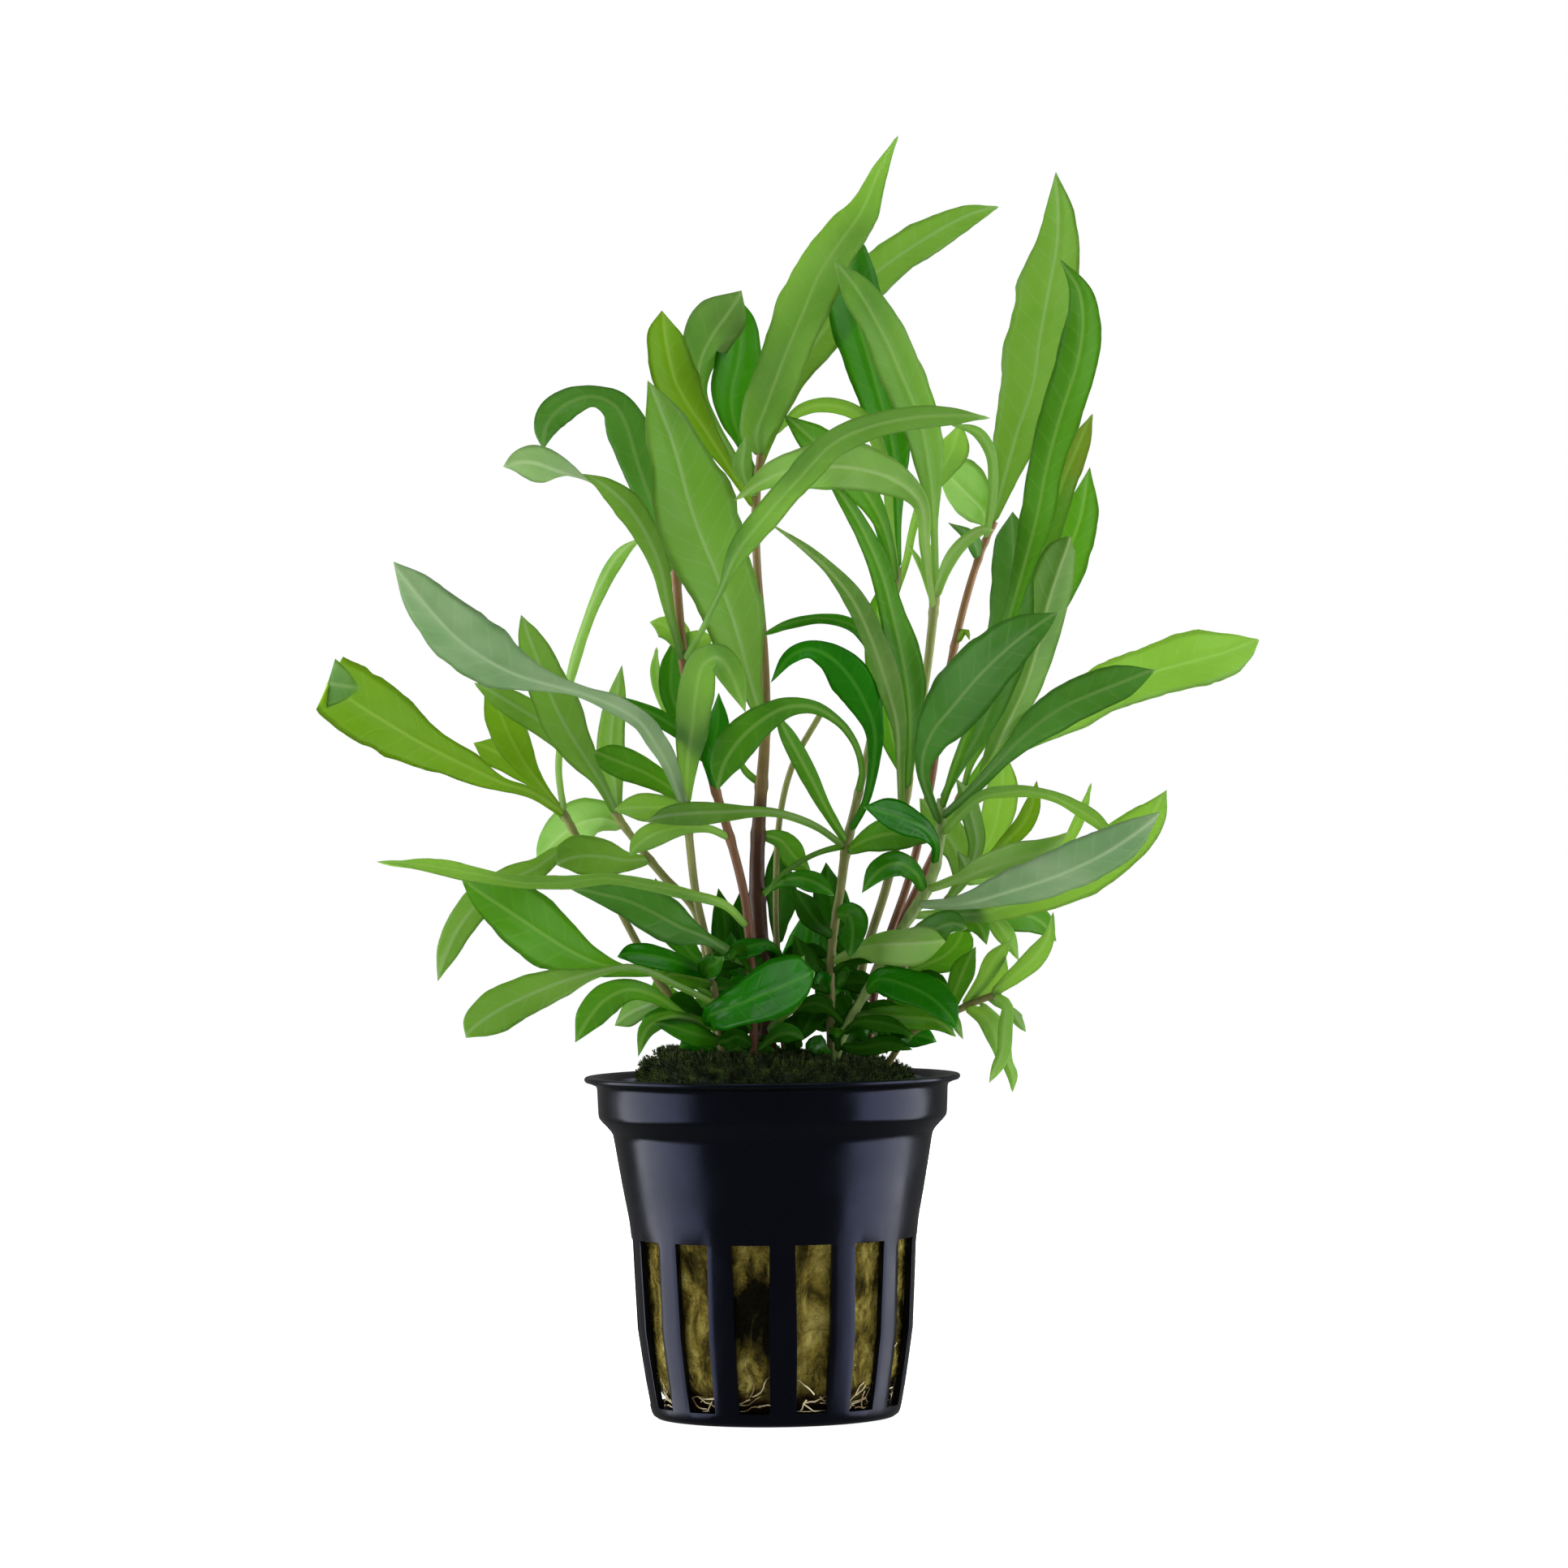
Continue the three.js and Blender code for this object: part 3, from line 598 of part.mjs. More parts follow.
function add(name, solid, look) {
  const mesh = new THREE.Mesh(toGeometry(solid), new THREE.MeshStandardMaterial(looks[look]));
  mesh.name = name;
  plant.add(mesh);
}

// How straight a blade grows, as seen from in front: 1 when it doesn't bend at all
function straightness(rows) {
  const last = rows.length - 1;
  const spans = rows.slice(1).map(([across, up], at) => Math.hypot(across - rows[at][0], up - rows[at][1]));
  const reach = Math.hypot(rows[last][0] - rows[0][0], rows[last][1] - rows[0][1]);
  return reach / spans.reduce((sum, span) => sum + span, 0);
}

// A blade without a turn of its own is rolled so that its upper face looks up, or its lower face looks down.
// The more it arches, the less it is rolled.
function leafRoll(rows, isSeenFromBelow) {
  if (rows.some((row) => row.length > 4)) {
    return 0;
  }
  const lean = Math.sign(rows[rows.length - 1][0] - rows[0][0]);
  const share = THREE.MathUtils.smoothstep(straightness(rows), ARCHED, STRAIGHT);
  return LEAF_ROLL * share * (isSeenFromBelow ? lean : -lean);
}

function leafSpacing(rows, usual) {
  const mostTurn = Math.max(...rows.map((row) => row[4] ?? 0));
  if (mostTurn > HALF_TURNED) {
    return TWIST_STATION;
  }
  return mostTurn > 0 || straightness(rows) < BENT ? BEND_STATION : usual;
}

function leafPiece([height, rows], stemName, spacing, isSeenFromBelow = false) {
  const start = [...joinPoint(stemName, height), JOIN_WIDTH];
  const roll = leafRoll(rows, isSeenFromBelow);
  const form = { sides: LEAF_SIDES, spacing: leafSpacing(rows, spacing), thickness: LEAF_THICKNESS, roll };
  return toSolid(bentPiece([start, ...rows], form));
}

// Each stem stands in a socket that its own shape, made thicker by the gap, leaves in the moss and wool
let wool = woolSolid();
let moss = mossSolid();
const clearances = {};
for (const [stemName, rows] of Object.entries(STEMS)) {
  const socket = toSolid(bentPiece(rows, { sides: STEM_SIDES, spacing: STEM_STATION, extra: GAP }));
  clearances[stemName] = socket;
  moss = moss.subtract(socket);
  wool = wool.subtract(socket);
}

add('net_pot', potSolid(), 'plastic');
add('rock_wool', wool, 'wool');
add('moss_cushion', moss, 'moss');

for (const [stemName, rows] of Object.entries(STEMS)) {
  let shoot = toSolid(bentPiece(rows, { sides: STEM_SIDES, spacing: STEM_STATION }));
  for (const smallLeaf of SMALL_LEAVES[stemName] ?? []) {
    shoot = shoot.add(leafPiece(smallLeaf, stemName, TWIG_STATION));
  }
  add(stemName, shoot, stemName === 'stem_main' ? 'bark' : 'stem');
}

for (const [leafName, [stemName, height, rows]] of Object.entries(LEAVES)) {
  let leaf = leafPiece([height, rows], stemName, LEAF_STATION, SEEN_FROM_BELOW.includes(leafName));
  leaf = leaf.subtract(clearances[stemName]);
  if (leafName in FOLDED_TIPS) {
    const tip = { sides: LEAF_SIDES, spacing: LEAF_STATION, thickness: LEAF_THICKNESS };
    leaf = leaf.add(toSolid(bentPiece(FOLDED_TIPS[leafName], tip)));
  }
  add(leafName, leaf, 'leaf');
}

export default plant;
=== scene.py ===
import bmesh
import bpy
import math
import random
from mathutils import Matrix, Vector, noise


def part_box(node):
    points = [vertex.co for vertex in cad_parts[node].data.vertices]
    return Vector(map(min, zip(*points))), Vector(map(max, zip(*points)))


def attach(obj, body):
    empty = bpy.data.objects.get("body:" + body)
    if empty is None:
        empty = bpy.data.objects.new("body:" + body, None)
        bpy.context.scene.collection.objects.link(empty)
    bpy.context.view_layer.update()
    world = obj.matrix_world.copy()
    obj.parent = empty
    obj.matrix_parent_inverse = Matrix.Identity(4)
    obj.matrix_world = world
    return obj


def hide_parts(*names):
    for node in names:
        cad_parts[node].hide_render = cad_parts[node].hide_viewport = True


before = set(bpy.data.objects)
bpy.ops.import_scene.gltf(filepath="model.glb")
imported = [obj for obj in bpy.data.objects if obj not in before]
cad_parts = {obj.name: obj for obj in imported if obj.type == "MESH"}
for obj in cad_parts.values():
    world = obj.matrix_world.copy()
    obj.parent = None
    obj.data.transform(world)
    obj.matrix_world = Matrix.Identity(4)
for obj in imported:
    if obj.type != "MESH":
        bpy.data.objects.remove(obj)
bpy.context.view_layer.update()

# The camera stands 950 mm in front of the pot's axis, level with the middle of the plant, and looks straight
# ahead through a long lens, so that the lip of the pot is seen almost edge on. It leans by 0.65 degrees.
MM = 0.001
EYE_ACROSS = 2.2 * MM
EYE_UP = 92.5 * MM
EYE_DISTANCE = 950 * MM
FRAME_WIDTH = 229.45 * MM
CAMERA_LEAN = 0.65

camera = bpy.data.objects.new("camera", bpy.data.cameras.new("camera"))
camera.data.sensor_width = 36
camera.data.lens = camera.data.sensor_width * EYE_DISTANCE / FRAME_WIDTH
camera.data.clip_start = 0.05
camera.location = (EYE_ACROSS, -EYE_DISTANCE, EYE_UP)
camera.rotation_euler = (math.radians(90), math.radians(CAMERA_LEAN), 0)
bpy.context.collection.objects.link(camera)
bpy.context.scene.camera = camera
bpy.context.scene.view_settings.view_transform = "Standard"

# The studio is a pale painted floor that runs far back, a white room light all round, and four soft boxes. Two
# tall ones at the sides draw the upright highlights on the pot, a weak one lights the plant from above, and one
# behind shines through the leaves. Neither the floor nor the box behind is mirrored in the pot.
FLOOR_REACH = 6
ROOM_LIGHT = 0.14
WHITE = (1, 1, 1, 1)


def linear(code):
    """The linear colour of an sRGB hex value such as "4F8F28"."""
    shares = [int(code[at:at + 2], 16) / 255 for at in (0, 2, 4)]
    return [s / 12.92 if s <= 0.04045 else ((s + 0.055) / 1.055) ** 2.4 for s in shares] + [1]


def add_node(tree, kind, sockets=None, **settings):
    """A node with its settings. Each socket gets a value, or a link where the value is another node's output."""
    made = tree.nodes.new(kind)
    for name, value in settings.items():
        setattr(made, name, value)
    for name, value in (sockets or {}).items():
        if isinstance(value, bpy.types.NodeSocket):
            tree.links.new(value, made.inputs[name])
        else:
            made.inputs[name].default_value = value
    return made


def bare_material(name):
    """A new material with an empty tree and its output node."""
    material = bpy.data.materials.new(name)
    material.use_nodes = True
    material.node_tree.nodes.clear()
    return material, material.node_tree, material.node_tree.nodes.new("ShaderNodeOutputMaterial")


def principled(tree, out, sockets):
    """One principled shader with these sockets, as the whole surface of a material."""
    shader = add_node(tree, "ShaderNodeBsdfPrincipled", sockets)
    tree.links.new(shader.outputs["BSDF"], out.inputs["Surface"])


def new_piece(name, mesh):
    """A new object that shows the mesh, at the origin."""
    piece = bpy.data.objects.new(name, mesh)
    bpy.context.collection.objects.link(piece)
    return piece


floor_mesh = bpy.data.meshes.new("floor")
floor_mesh.from_pydata([(-FLOOR_REACH, -FLOOR_REACH, 0), (FLOOR_REACH, -FLOOR_REACH, 0),
    (FLOOR_REACH, FLOOR_REACH, 0), (-FLOOR_REACH, FLOOR_REACH, 0)], [], [(0, 1, 2, 3)])
floor = new_piece("floor", floor_mesh)
# Matt paint that glows a little, so the floor runs into the white room without an edge
paint, tree, out = bare_material("matt white floor paint")
principled(tree, out, {"Base Color": linear("F4F4F2"), "Roughness": 0.9, "Specular IOR Level": 0.1,
    "Emission Color": WHITE, "Emission Strength": 0.88})
floor_mesh.materials.append(paint)
floor.visible_glossy = False

world = bpy.data.worlds.new("white room")
bpy.context.scene.world = world
world.use_nodes = True
world.node_tree.nodes.clear()
seen = add_node(world.node_tree, "ShaderNodeBackground", {"Color": WHITE, "Strength": 1.0})
lit = add_node(world.node_tree, "ShaderNodeBackground", {"Color": WHITE, "Strength": ROOM_LIGHT})
path = add_node(world.node_tree, "ShaderNodeLightPath")
mixed = add_node(world.node_tree, "ShaderNodeMixShader", {
    0: path.outputs["Is Camera Ray"], 1: lit.outputs["Background"], 2: seen.outputs["Background"]})
add_node(world.node_tree, "ShaderNodeOutputWorld", {"Surface": mixed.outputs["Shader"]})


def soft_box(name, place, aim, size, power, mirrored=True):
    """A rectangular lamp that faces its aim. It isn't seen itself, but a mirrored one shows as a highlight."""
    lamp = bpy.data.lights.new(name, "AREA")
    lamp.shape = "RECTANGLE"
    lamp.size, lamp.size_y = size
    lamp.energy = power
    box = bpy.data.objects.new(name, lamp)
    box.location = place
    box.rotation_euler = (Vector(aim) - Vector(place)).to_track_quat("-Z", "Y").to_euler()
    box.visible_camera = False
    box.visible_glossy = mirrored
    bpy.context.collection.objects.link(box)


soft_box("left soft box", (-0.6, -0.01, 0.12), (0, 0, 0.08), (0.72, 0.8), 7)
soft_box("right soft box", (0.6, -0.01, 0.12), (0, 0, 0.08), (0.72, 0.8), 7)
soft_box("top soft box", (0, -0.3, 0.85), (0, 0, 0.08), (0.7, 0.5), 2)
soft_box("back soft box", (0, 0.8, 0.2), (0, 0, 0.11), (0.8, 0.6), 11, mirrored=False)

# The pot is a thin-walled round pot moulded in black polypropylene, with a flared lip, a raised band under it
# and a row of tall slots down to its foot. Its floor has drain slots.
WALL = 1
FLOOR = 1.2 * MM
SLOT_COUNT = 14
SLOT_BOTTOM, SLOT_TOP = 2 * MM, 26.4 * MM
SLOT_WIDTH_BOTTOM, SLOT_WIDTH_TOP = 4.5 * MM, 5.6 * MM
SLOT_TURN = math.radians(3.4)
SLOT_COLUMNS = 4
RIB_COLUMNS = 4
DRAIN_COUNT = 7
DRAIN_RADIUS = 11.85 * MM
DRAIN_SIZE = (6.7 * MM, 2.4 * MM, 3 * FLOOR, 1)
ROUNDING = 0.16 * MM

# Radius and height in mm, from the foot's middle up the outside, over the lip and down the inside
POT_SLOT_ROWS = [(18.45, 2), (19.0, 5), (19.55, 8.5), (20.2, 13), (20.4, 17), (20.6, 21), (20.8, 25.5), (20.9, 26.4)]
OUTSIDE = [(16.6, 0), (17.4, 0.12), (17.95, 0.5), (18.2, 1)] + POT_SLOT_ROWS + [
    (21.2, 29), (22.05, 33.5), (22.8, 37.8), (23.3, 40.8), (23.45, 41.5), (23.75, 42), (25.1, 43.55),
    (25.42, 44), (25.52, 44.6), (25.6, 46.6), (25.66, 48.2), (25.8, 48.62), (26.6, 49.0), (27.3, 49.2),
    (27.5, 49.45), (27.5, 49.75), (27.3, 49.95)]
INSIDE = [(26.6, 50), (25.7, 49.75), (24.85, 49.1), (24.68, 48.4), (24.64, 44.6), (24.3, 44), (22.75, 42.2),
    (22.35, 41.3), (21.8, 37.8), (21.05, 33.5), (20.2, 29)] + [
    (radius - WALL, height) for radius, height in reversed(POT_SLOT_ROWS)] + [(17.3, 1.35), (16.8, 1.2)]


def slot_half_angle(radius, height):
    """Half of the angle that a slot takes up, as seen from the pot's axis."""
    share = min(max((height - SLOT_BOTTOM) / (SLOT_TOP - SLOT_BOTTOM), 0), 1)
    width = SLOT_WIDTH_BOTTOM + share * (SLOT_WIDTH_TOP - SLOT_WIDTH_BOTTOM)
    return math.asin(width / 2 / radius)


def pot_wall():
    """The whole pot as rings of columns. Each slot's columns are left open and lined with the wall's own edge."""
    rows = [(r * MM, z * MM) for r, z in OUTSIDE + INSIDE]
    columns = SLOT_COUNT * (SLOT_COLUMNS + RIB_COLUMNS)
    shape = bmesh.new()
    rings = []
    for radius, height in rows:
        half = slot_half_angle(radius, height)
        ring = []
        for slot in range(SLOT_COUNT):
            middle = SLOT_TURN + (slot + 0.5) * math.tau / SLOT_COUNT - math.pi / 2
            for step in range(SLOT_COLUMNS):
                ring.append(middle - half + step * 2 * half / SLOT_COLUMNS)
            for step in range(RIB_COLUMNS):
                ring.append(middle + half + step * (math.tau / SLOT_COUNT - 2 * half) / RIB_COLUMNS)
        rings.append([shape.verts.new((radius * math.cos(a), radius * math.sin(a), height)) for a in ring])

    def is_open(row, column):
        heights = (rows[row][1], rows[row + 1][1])
        in_slot = column % (SLOT_COLUMNS + RIB_COLUMNS) < SLOT_COLUMNS
        slack = 1e-7
        return in_slot and min(heights) > SLOT_BOTTOM - slack and max(heights) < SLOT_TOP + slack

    for row in range(len(rows) - 1):
        low, high = rings[row], rings[row + 1]
        for column in range(columns):
            after = (column + 1) % columns
            if not is_open(row, column):
                shape.faces.new((low[column], low[after], high[after], high[column]))
    first = OUTSIDE.index(POT_SLOT_ROWS[0])
    last_row = len(rows) - 3
    for slot in range(SLOT_COUNT):
        left = slot * (SLOT_COLUMNS + RIB_COLUMNS)
        right = (left + SLOT_COLUMNS) % columns
        for step in range(len(POT_SLOT_ROWS) - 1):
            outer, outer_above = rings[first + step], rings[first + step + 1]
            inner, inner_above = rings[last_row - step], rings[last_row - step - 1]
            shape.faces.new((outer[left], outer_above[left], inner_above[left], inner[left]))
            shape.faces.new((outer_above[right], outer[right], inner[right], inner_above[right]))
        top_outer, top_inner = first + len(POT_SLOT_ROWS) - 1, last_row - len(POT_SLOT_ROWS) + 1
        for step in range(SLOT_COLUMNS):
            a, b = (left + step) % columns, (left + step + 1) % columns
            shape.faces.new((rings[first][b], rings[first][a], rings[last_row][a], rings[last_row][b]))
            shape.faces.new((rings[top_outer][a], rings[top_outer][b], rings[top_inner][b], rings[top_inner][a]))
    shape.faces.new(list(reversed(rings[0])))
    shape.faces.new(rings[-1])
    bmesh.ops.recalc_face_normals(shape, faces=shape.faces)
    return shape


def mesh_from(shape, name):
    """The bmesh as a mesh of this name."""
    mesh = bpy.data.meshes.new(name)
    shape.to_mesh(mesh)
    shape.free()
    return mesh


def finished(piece):
    """The piece as a plain mesh, with its modifiers applied and taken off."""
    mesh = bpy.data.meshes.new_from_object(piece.evaluated_get(bpy.context.evaluated_depsgraph_get()))
    piece.modifiers.clear()
    piece.data = mesh
    return piece


pot = new_piece("slotted_pot", mesh_from(pot_wall(), "slotted_pot"))
cutters = bmesh.new()
for drain in range(DRAIN_COUNT):
    place = Matrix.Rotation(drain * math.tau / DRAIN_COUNT, 4, "Z") @ Matrix.Translation((DRAIN_RADIUS, 0, FLOOR / 2))
    bmesh.ops.create_cube(cutters, size=1, matrix=place @ Matrix.Diagonal(DRAIN_SIZE))
drains = new_piece("drains", mesh_from(cutters, "drains"))
cut = pot.modifiers.new("drains", "BOOLEAN")
cut.object = drains
cut.solver = "EXACT"
soften = pot.modifiers.new("moulded edges", "BEVEL")
soften.width = ROUNDING
soften.segments = 2
soften.limit_method = "ANGLE"
soften.angle_limit = math.radians(40)
finished(pot)
bpy.data.objects.remove(drains)
pot.data.polygons.foreach_set("use_smooth", [True] * len(pot.data.polygons))
pot.data.set_sharp_from_angle(angle=math.radians(35))


def noise_of(tree, place, size, detail, **sockets):
    """Noise from 0 to 1, in clouds of about this size."""
    return add_node(tree, "ShaderNodeTexNoise", {"Vector": place, "Scale": 1 / size, "Detail": detail,
        **sockets}).outputs["Fac"]


def ranged(tree, value, low, high, to_low=0.0, to_high=1.0, **settings):
    """The value carried over from one range to another, and held inside it."""
    return add_node(tree, "ShaderNodeMapRange", {"Value": value, "From Min": low, "From Max": high, "To Min": to_low,
        "To Max": to_high}, **settings).outputs["Result"]


def bumped(tree, height, strength, distance, **settings):
    """The surface direction over a relief of this height."""
    return add_node(tree, "ShaderNodeBump", {"Height": height, "Strength": strength, "Distance": distance},
        **settings).outputs["Normal"]


# Moulded black polypropylene: a blue-black body with a low gloss that the mould leaves faintly uneven
plastic, tree, out = bare_material("moulded black polypropylene")
place = add_node(tree, "ShaderNodeTexCoord").outputs["Object"]
gloss = ranged(tree, noise_of(tree, place, 9 * MM, 3.0), 0.35, 0.65, 0.22, 0.33)
relief = bumped(tree, noise_of(tree, place, 2.5 * MM, 2.0), 0.25, 0.05 * MM)
principled(tree, out, {"Base Color": linear("040506"), "IOR": 1.49, "Specular IOR Level": 0.26,
    "Specular Tint": linear("B8C2FF"), "Roughness": gloss, "Normal": relief})
pot.data.materials.clear()
pot.data.materials.append(plastic)
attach(pot, "root")
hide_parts("net_pot")

# Mineral wool fills the pot: a soft block of fine spun fibres, olive from the algae in it and dark brown towards its
# foot. It bulges a little at the slots, and loose fibres lie all over it.
WOOL_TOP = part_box("rock_wool")[1].z
WOOL_SIDE = [(17.2, 1.6), (18.0, 4), (18.7, 8.5), (19.1, 13), (19.5, 21), (19.7, 26), (20.0, 29), (21.4, 37.8),
    (21.9, 41.5), (22.6, 43), (24.0, 44.6), (24.1, 46.2)]
WOOL_AROUND = 220
WOOL_STEP = 0.45 * MM
WOOL_INSET = 0.35
CLUMP_DEPTH = 0.85
CLUMPS = [(3.1, 0.5), (1.1, 0.3), (0.45, 0.14)]
WORN_HEIGHT, WORN_FADE, WORN_DEPTH = 6, 2.5, 1.5
FIBRE_LENGTH = 2.6
FIBRE_BEND = 2.2
FIBRE_RADIUS = 0.045 * MM
DARK_WOOL_SPOT = (-3.5 * MM, -19 * MM, 17 * MM)


def wool_block():
    """The block's uneven side as rings, closed at both ends. At its foot it is worn back between the roots."""
    levels = []
    for (low_r, low_z), (high_r, high_z) in zip(WOOL_SIDE, WOOL_SIDE[1:]):
        steps = max(1, round((high_z - low_z) * MM / WOOL_STEP))
        levels += [(low_r + (high_r - low_r) * s / steps, low_z + (high_z - low_z) * s / steps) for s in range(steps)]
    levels.append(WOOL_SIDE[-1])
    shape = bmesh.new()
    rings = []
    for radius, height in levels:
        ring = []
        for step in range(WOOL_AROUND):
            turn = step * math.tau / WOOL_AROUND
            spot = Vector((radius * math.cos(turn), radius * math.sin(turn), height))
            clump = 0
            for size, weight in CLUMPS:
                clump += noise.noise(spot / size) * weight
            worn = noise.noise(Vector((3 * math.cos(turn), 3 * math.sin(turn), 7))) * 3
            hollow = min(max((WORN_HEIGHT + worn - height) / WORN_FADE, 0), 1)
            deep = radius - WOOL_INSET + CLUMP_DEPTH * clump - WORN_DEPTH * hollow
            ring.append(shape.verts.new((deep * MM * math.cos(turn), deep * MM * math.sin(turn), height * MM)))
        rings.append(ring)
    for low, high in zip(rings, rings[1:]):
        for step in range(WOOL_AROUND):
            after = (step + 1) % WOOL_AROUND
            shape.faces.new((low[step], low[after], high[after], high[step]))
    for ring, height in ((rings[0], levels[0][1] * MM), (rings[-1], WOOL_TOP)):
        middle = shape.verts.new((0, 0, height))
        for step in range(WOOL_AROUND):
            after = (step + 1) % WOOL_AROUND
            corners = (ring[step], ring[after], middle)
            shape.faces.new(corners if ring is rings[-1] else corners[::-1])
    return shape


def wool_fibre():
    """One curved fibre that lies on the wool, three-sided and closed at both ends."""
    shape = bmesh.new()
    rings = []
    for step in range(4):
        along = step / 3 - 0.5
        middle = Vector((FIBRE_LENGTH * along, FIBRE_BEND * along * along, 0.1 + 0.9 * along * along)) * MM
        rings.append([shape.verts.new(middle + Vector((0, math.cos(turn), math.sin(turn))) * FIBRE_RADIUS)
            for turn in (0, math.tau / 3, 2 * math.tau / 3)])
    for low, high in zip(rings, rings[1:]):
        for side in range(3):
            shape.faces.new((low[side], high[side], high[(side + 1) % 3], low[(side + 1) % 3]))
    shape.faces.new(rings[0])
    shape.faces.new(rings[-1][::-1])
    bmesh.ops.recalc_face_normals(shape, faces=shape.faces)
    return shape


def ramp(tree, share, stops):
    """The colour at a share, from stops that each have a share and an sRGB hex value."""
    made = add_node(tree, "ShaderNodeValToRGB", {"Fac": share})
    for stop, code in stops:
        made.color_ramp.elements.new(stop).color = linear(code)
    made.color_ramp.elements.remove(made.color_ramp.elements[0])
    made.color_ramp.elements.remove(made.color_ramp.elements[-1])
    return made.outputs["Color"]


def blended(tree, share, first, second):
    """The colour between two at a share."""
    return add_node(tree, "ShaderNodeMix", {0: share, 6: first, 7: second}, data_type="RGBA").outputs[2]


def reckon(tree, operation, *numbers):
    """The output of one sum on numbers or on other nodes' outputs."""
    return add_node(tree, "ShaderNodeMath", dict(enumerate(numbers)), operation=operation).outputs["Value"]


block = new_piece("mineral_wool_block", mesh_from(wool_block(), "mineral_wool_block"))
block.data.polygons.foreach_set("use_smooth", [True] * len(block.data.polygons))
strand = new_piece("wool_fibre", mesh_from(wool_fibre(), "wool_fibre"))

# Spun mineral fibre: dull and matt, in pale and olive tufts with painted shade in the hollows between them. The wool
# is darker round one spot in the slot left of the middle.
fibre, tree, out = bare_material("olive mineral wool")
place = add_node(tree, "ShaderNodeTexCoord").outputs["Object"]
stretched = add_node(tree, "ShaderNodeMapping", {"Vector": place, "Scale": (1, 1, 0.45)}).outputs["Vector"]
tufts = noise_of(tree, stretched, 3.4 * MM, 6.0, Roughness=0.62, Distortion=0.8)
# The wool is darker round this one spot
spot_distance = add_node(tree, "ShaderNodeVectorMath", {0: place, 1: DARK_WOOL_SPOT}, operation="DISTANCE").outputs["Value"]
spot_darkening = ranged(tree, spot_distance, 4 * MM, 9 * MM, -0.14, 0.03)
# The darkest stops are painted shade in the hollows between the tufts; the others are the wool's pale and olive
# colour
tint = ramp(tree, reckon(tree, "ADD", tufts, spot_darkening), ((0.32, "0C0B04"), (0.43, "3A3312"), (0.54, "665B26"),
    (0.72, "9A9050")))
up = add_node(tree, "ShaderNodeSeparateXYZ", {"Vector": place}).outputs["Z"]
# Dark brown towards the foot of the block
foot_darkening = ranged(tree, reckon(tree, "MULTIPLY_ADD", tufts, 9 * MM, up), 7.5 * MM, 11 * MM, 1.0, 0.0)
relief = bumped(tree, noise_of(tree, place, 0.5 * MM, 4.0), 0.9, 0.4 * MM)
principled(tree, out, {"Base Color": blended(tree, foot_darkening, tint, linear("1E140A")), "Roughness": 0.95,
    "Specular IOR Level": 0.05, "Normal": relief})


def new_tree(name, inputs):
    """A geometry tree with its input node, its named inputs in the order given, and its output node."""
    made = bpy.data.node_groups.new(name, "GeometryNodeTree")
    made.interface.new_socket("Geometry", in_out="INPUT", socket_type="NodeSocketGeometry")
    for label, kind in inputs:
        made.interface.new_socket(label, in_out="INPUT", socket_type="NodeSocket" + kind)
    made.interface.new_socket("Geometry", in_out="OUTPUT", socket_type="NodeSocketGeometry")
    return made, made.nodes.new("NodeGroupInput").outputs, made.nodes.new("NodeGroupOutput").inputs


def end_tree(tree, shape, finish, result):
    """The end of a geometry tree: its instances are made real and get their material."""
    real = add_node(tree, "GeometryNodeRealizeInstances", {"Geometry": shape})
    coloured = add_node(tree, "GeometryNodeSetMaterial", {"Geometry": real.outputs["Geometry"], "Material": finish})
    tree.links.new(coloured.outputs["Geometry"], result["Geometry"])


def grown(piece, made, values):
    """The piece as the tree makes it from these input values, as a plain mesh."""
    grower = piece.modifiers.new(made.name, "NODES")
    grower.node_group = made
    for item in made.interface.items_tree:
        if item.in_out == "INPUT" and item.name in values:
            grower[item.identifier] = values[item.name]
    return finished(piece)


# Small bits stand all over a piece, each turned and sized at random
scatter_tree, given, result = new_tree("scattered bits", [("Bit", "Object"), ("Density", "Float"),
    ("Least Size", "Float"), ("Most Size", "Float"), ("Upright", "Float"), ("Seed", "Int"), ("Finish", "Material")])
spots = add_node(scatter_tree, "GeometryNodeDistributePointsOnFaces", {"Mesh": given["Geometry"],
    "Density": given["Density"], "Seed": given["Seed"]})
single = add_node(scatter_tree, "GeometryNodeObjectInfo", {"Object": given["Bit"]})
upright = add_node(scatter_tree, "FunctionNodeAlignRotationToVector", {"Vector": spots.outputs["Normal"],
    "Factor": given["Upright"]}, axis="Z")
turn = add_node(scatter_tree, "FunctionNodeRandomValue", {2: 0.0, 3: math.tau, "Seed": 5}, data_type="FLOAT")
spin = add_node(scatter_tree, "ShaderNodeCombineXYZ", {"Z": turn.outputs[1]})
turned = add_node(scatter_tree, "FunctionNodeRotateRotation", {"Rotation": upright.outputs["Rotation"],
    "Rotate By": spin.outputs["Vector"]}, rotation_space="LOCAL")
size = add_node(scatter_tree, "FunctionNodeRandomValue", {2: given["Least Size"], 3: given["Most Size"], "Seed": 9},
    data_type="FLOAT")
planted = add_node(scatter_tree, "GeometryNodeInstanceOnPoints", {"Points": spots.outputs["Points"],
    "Instance": single.outputs["Geometry"], "Rotation": turned.outputs["Rotation"], "Scale": size.outputs[1]})
both = add_node(scatter_tree, "GeometryNodeJoinGeometry")
scatter_tree.links.new(planted.outputs["Instances"], both.inputs["Geometry"])
scatter_tree.links.new(given["Geometry"], both.inputs["Geometry"])
end_tree(scatter_tree, both.outputs["Geometry"], given["Finish"], result)

wool = grown(block, scatter_tree, {"Bit": strand, "Density": 0.8 / MM ** 2, "Least Size": 0.5, "Most Size": 1.1,
    "Upright": 1.0, "Seed": 8, "Finish": fibre})
bpy.data.objects.remove(strand)

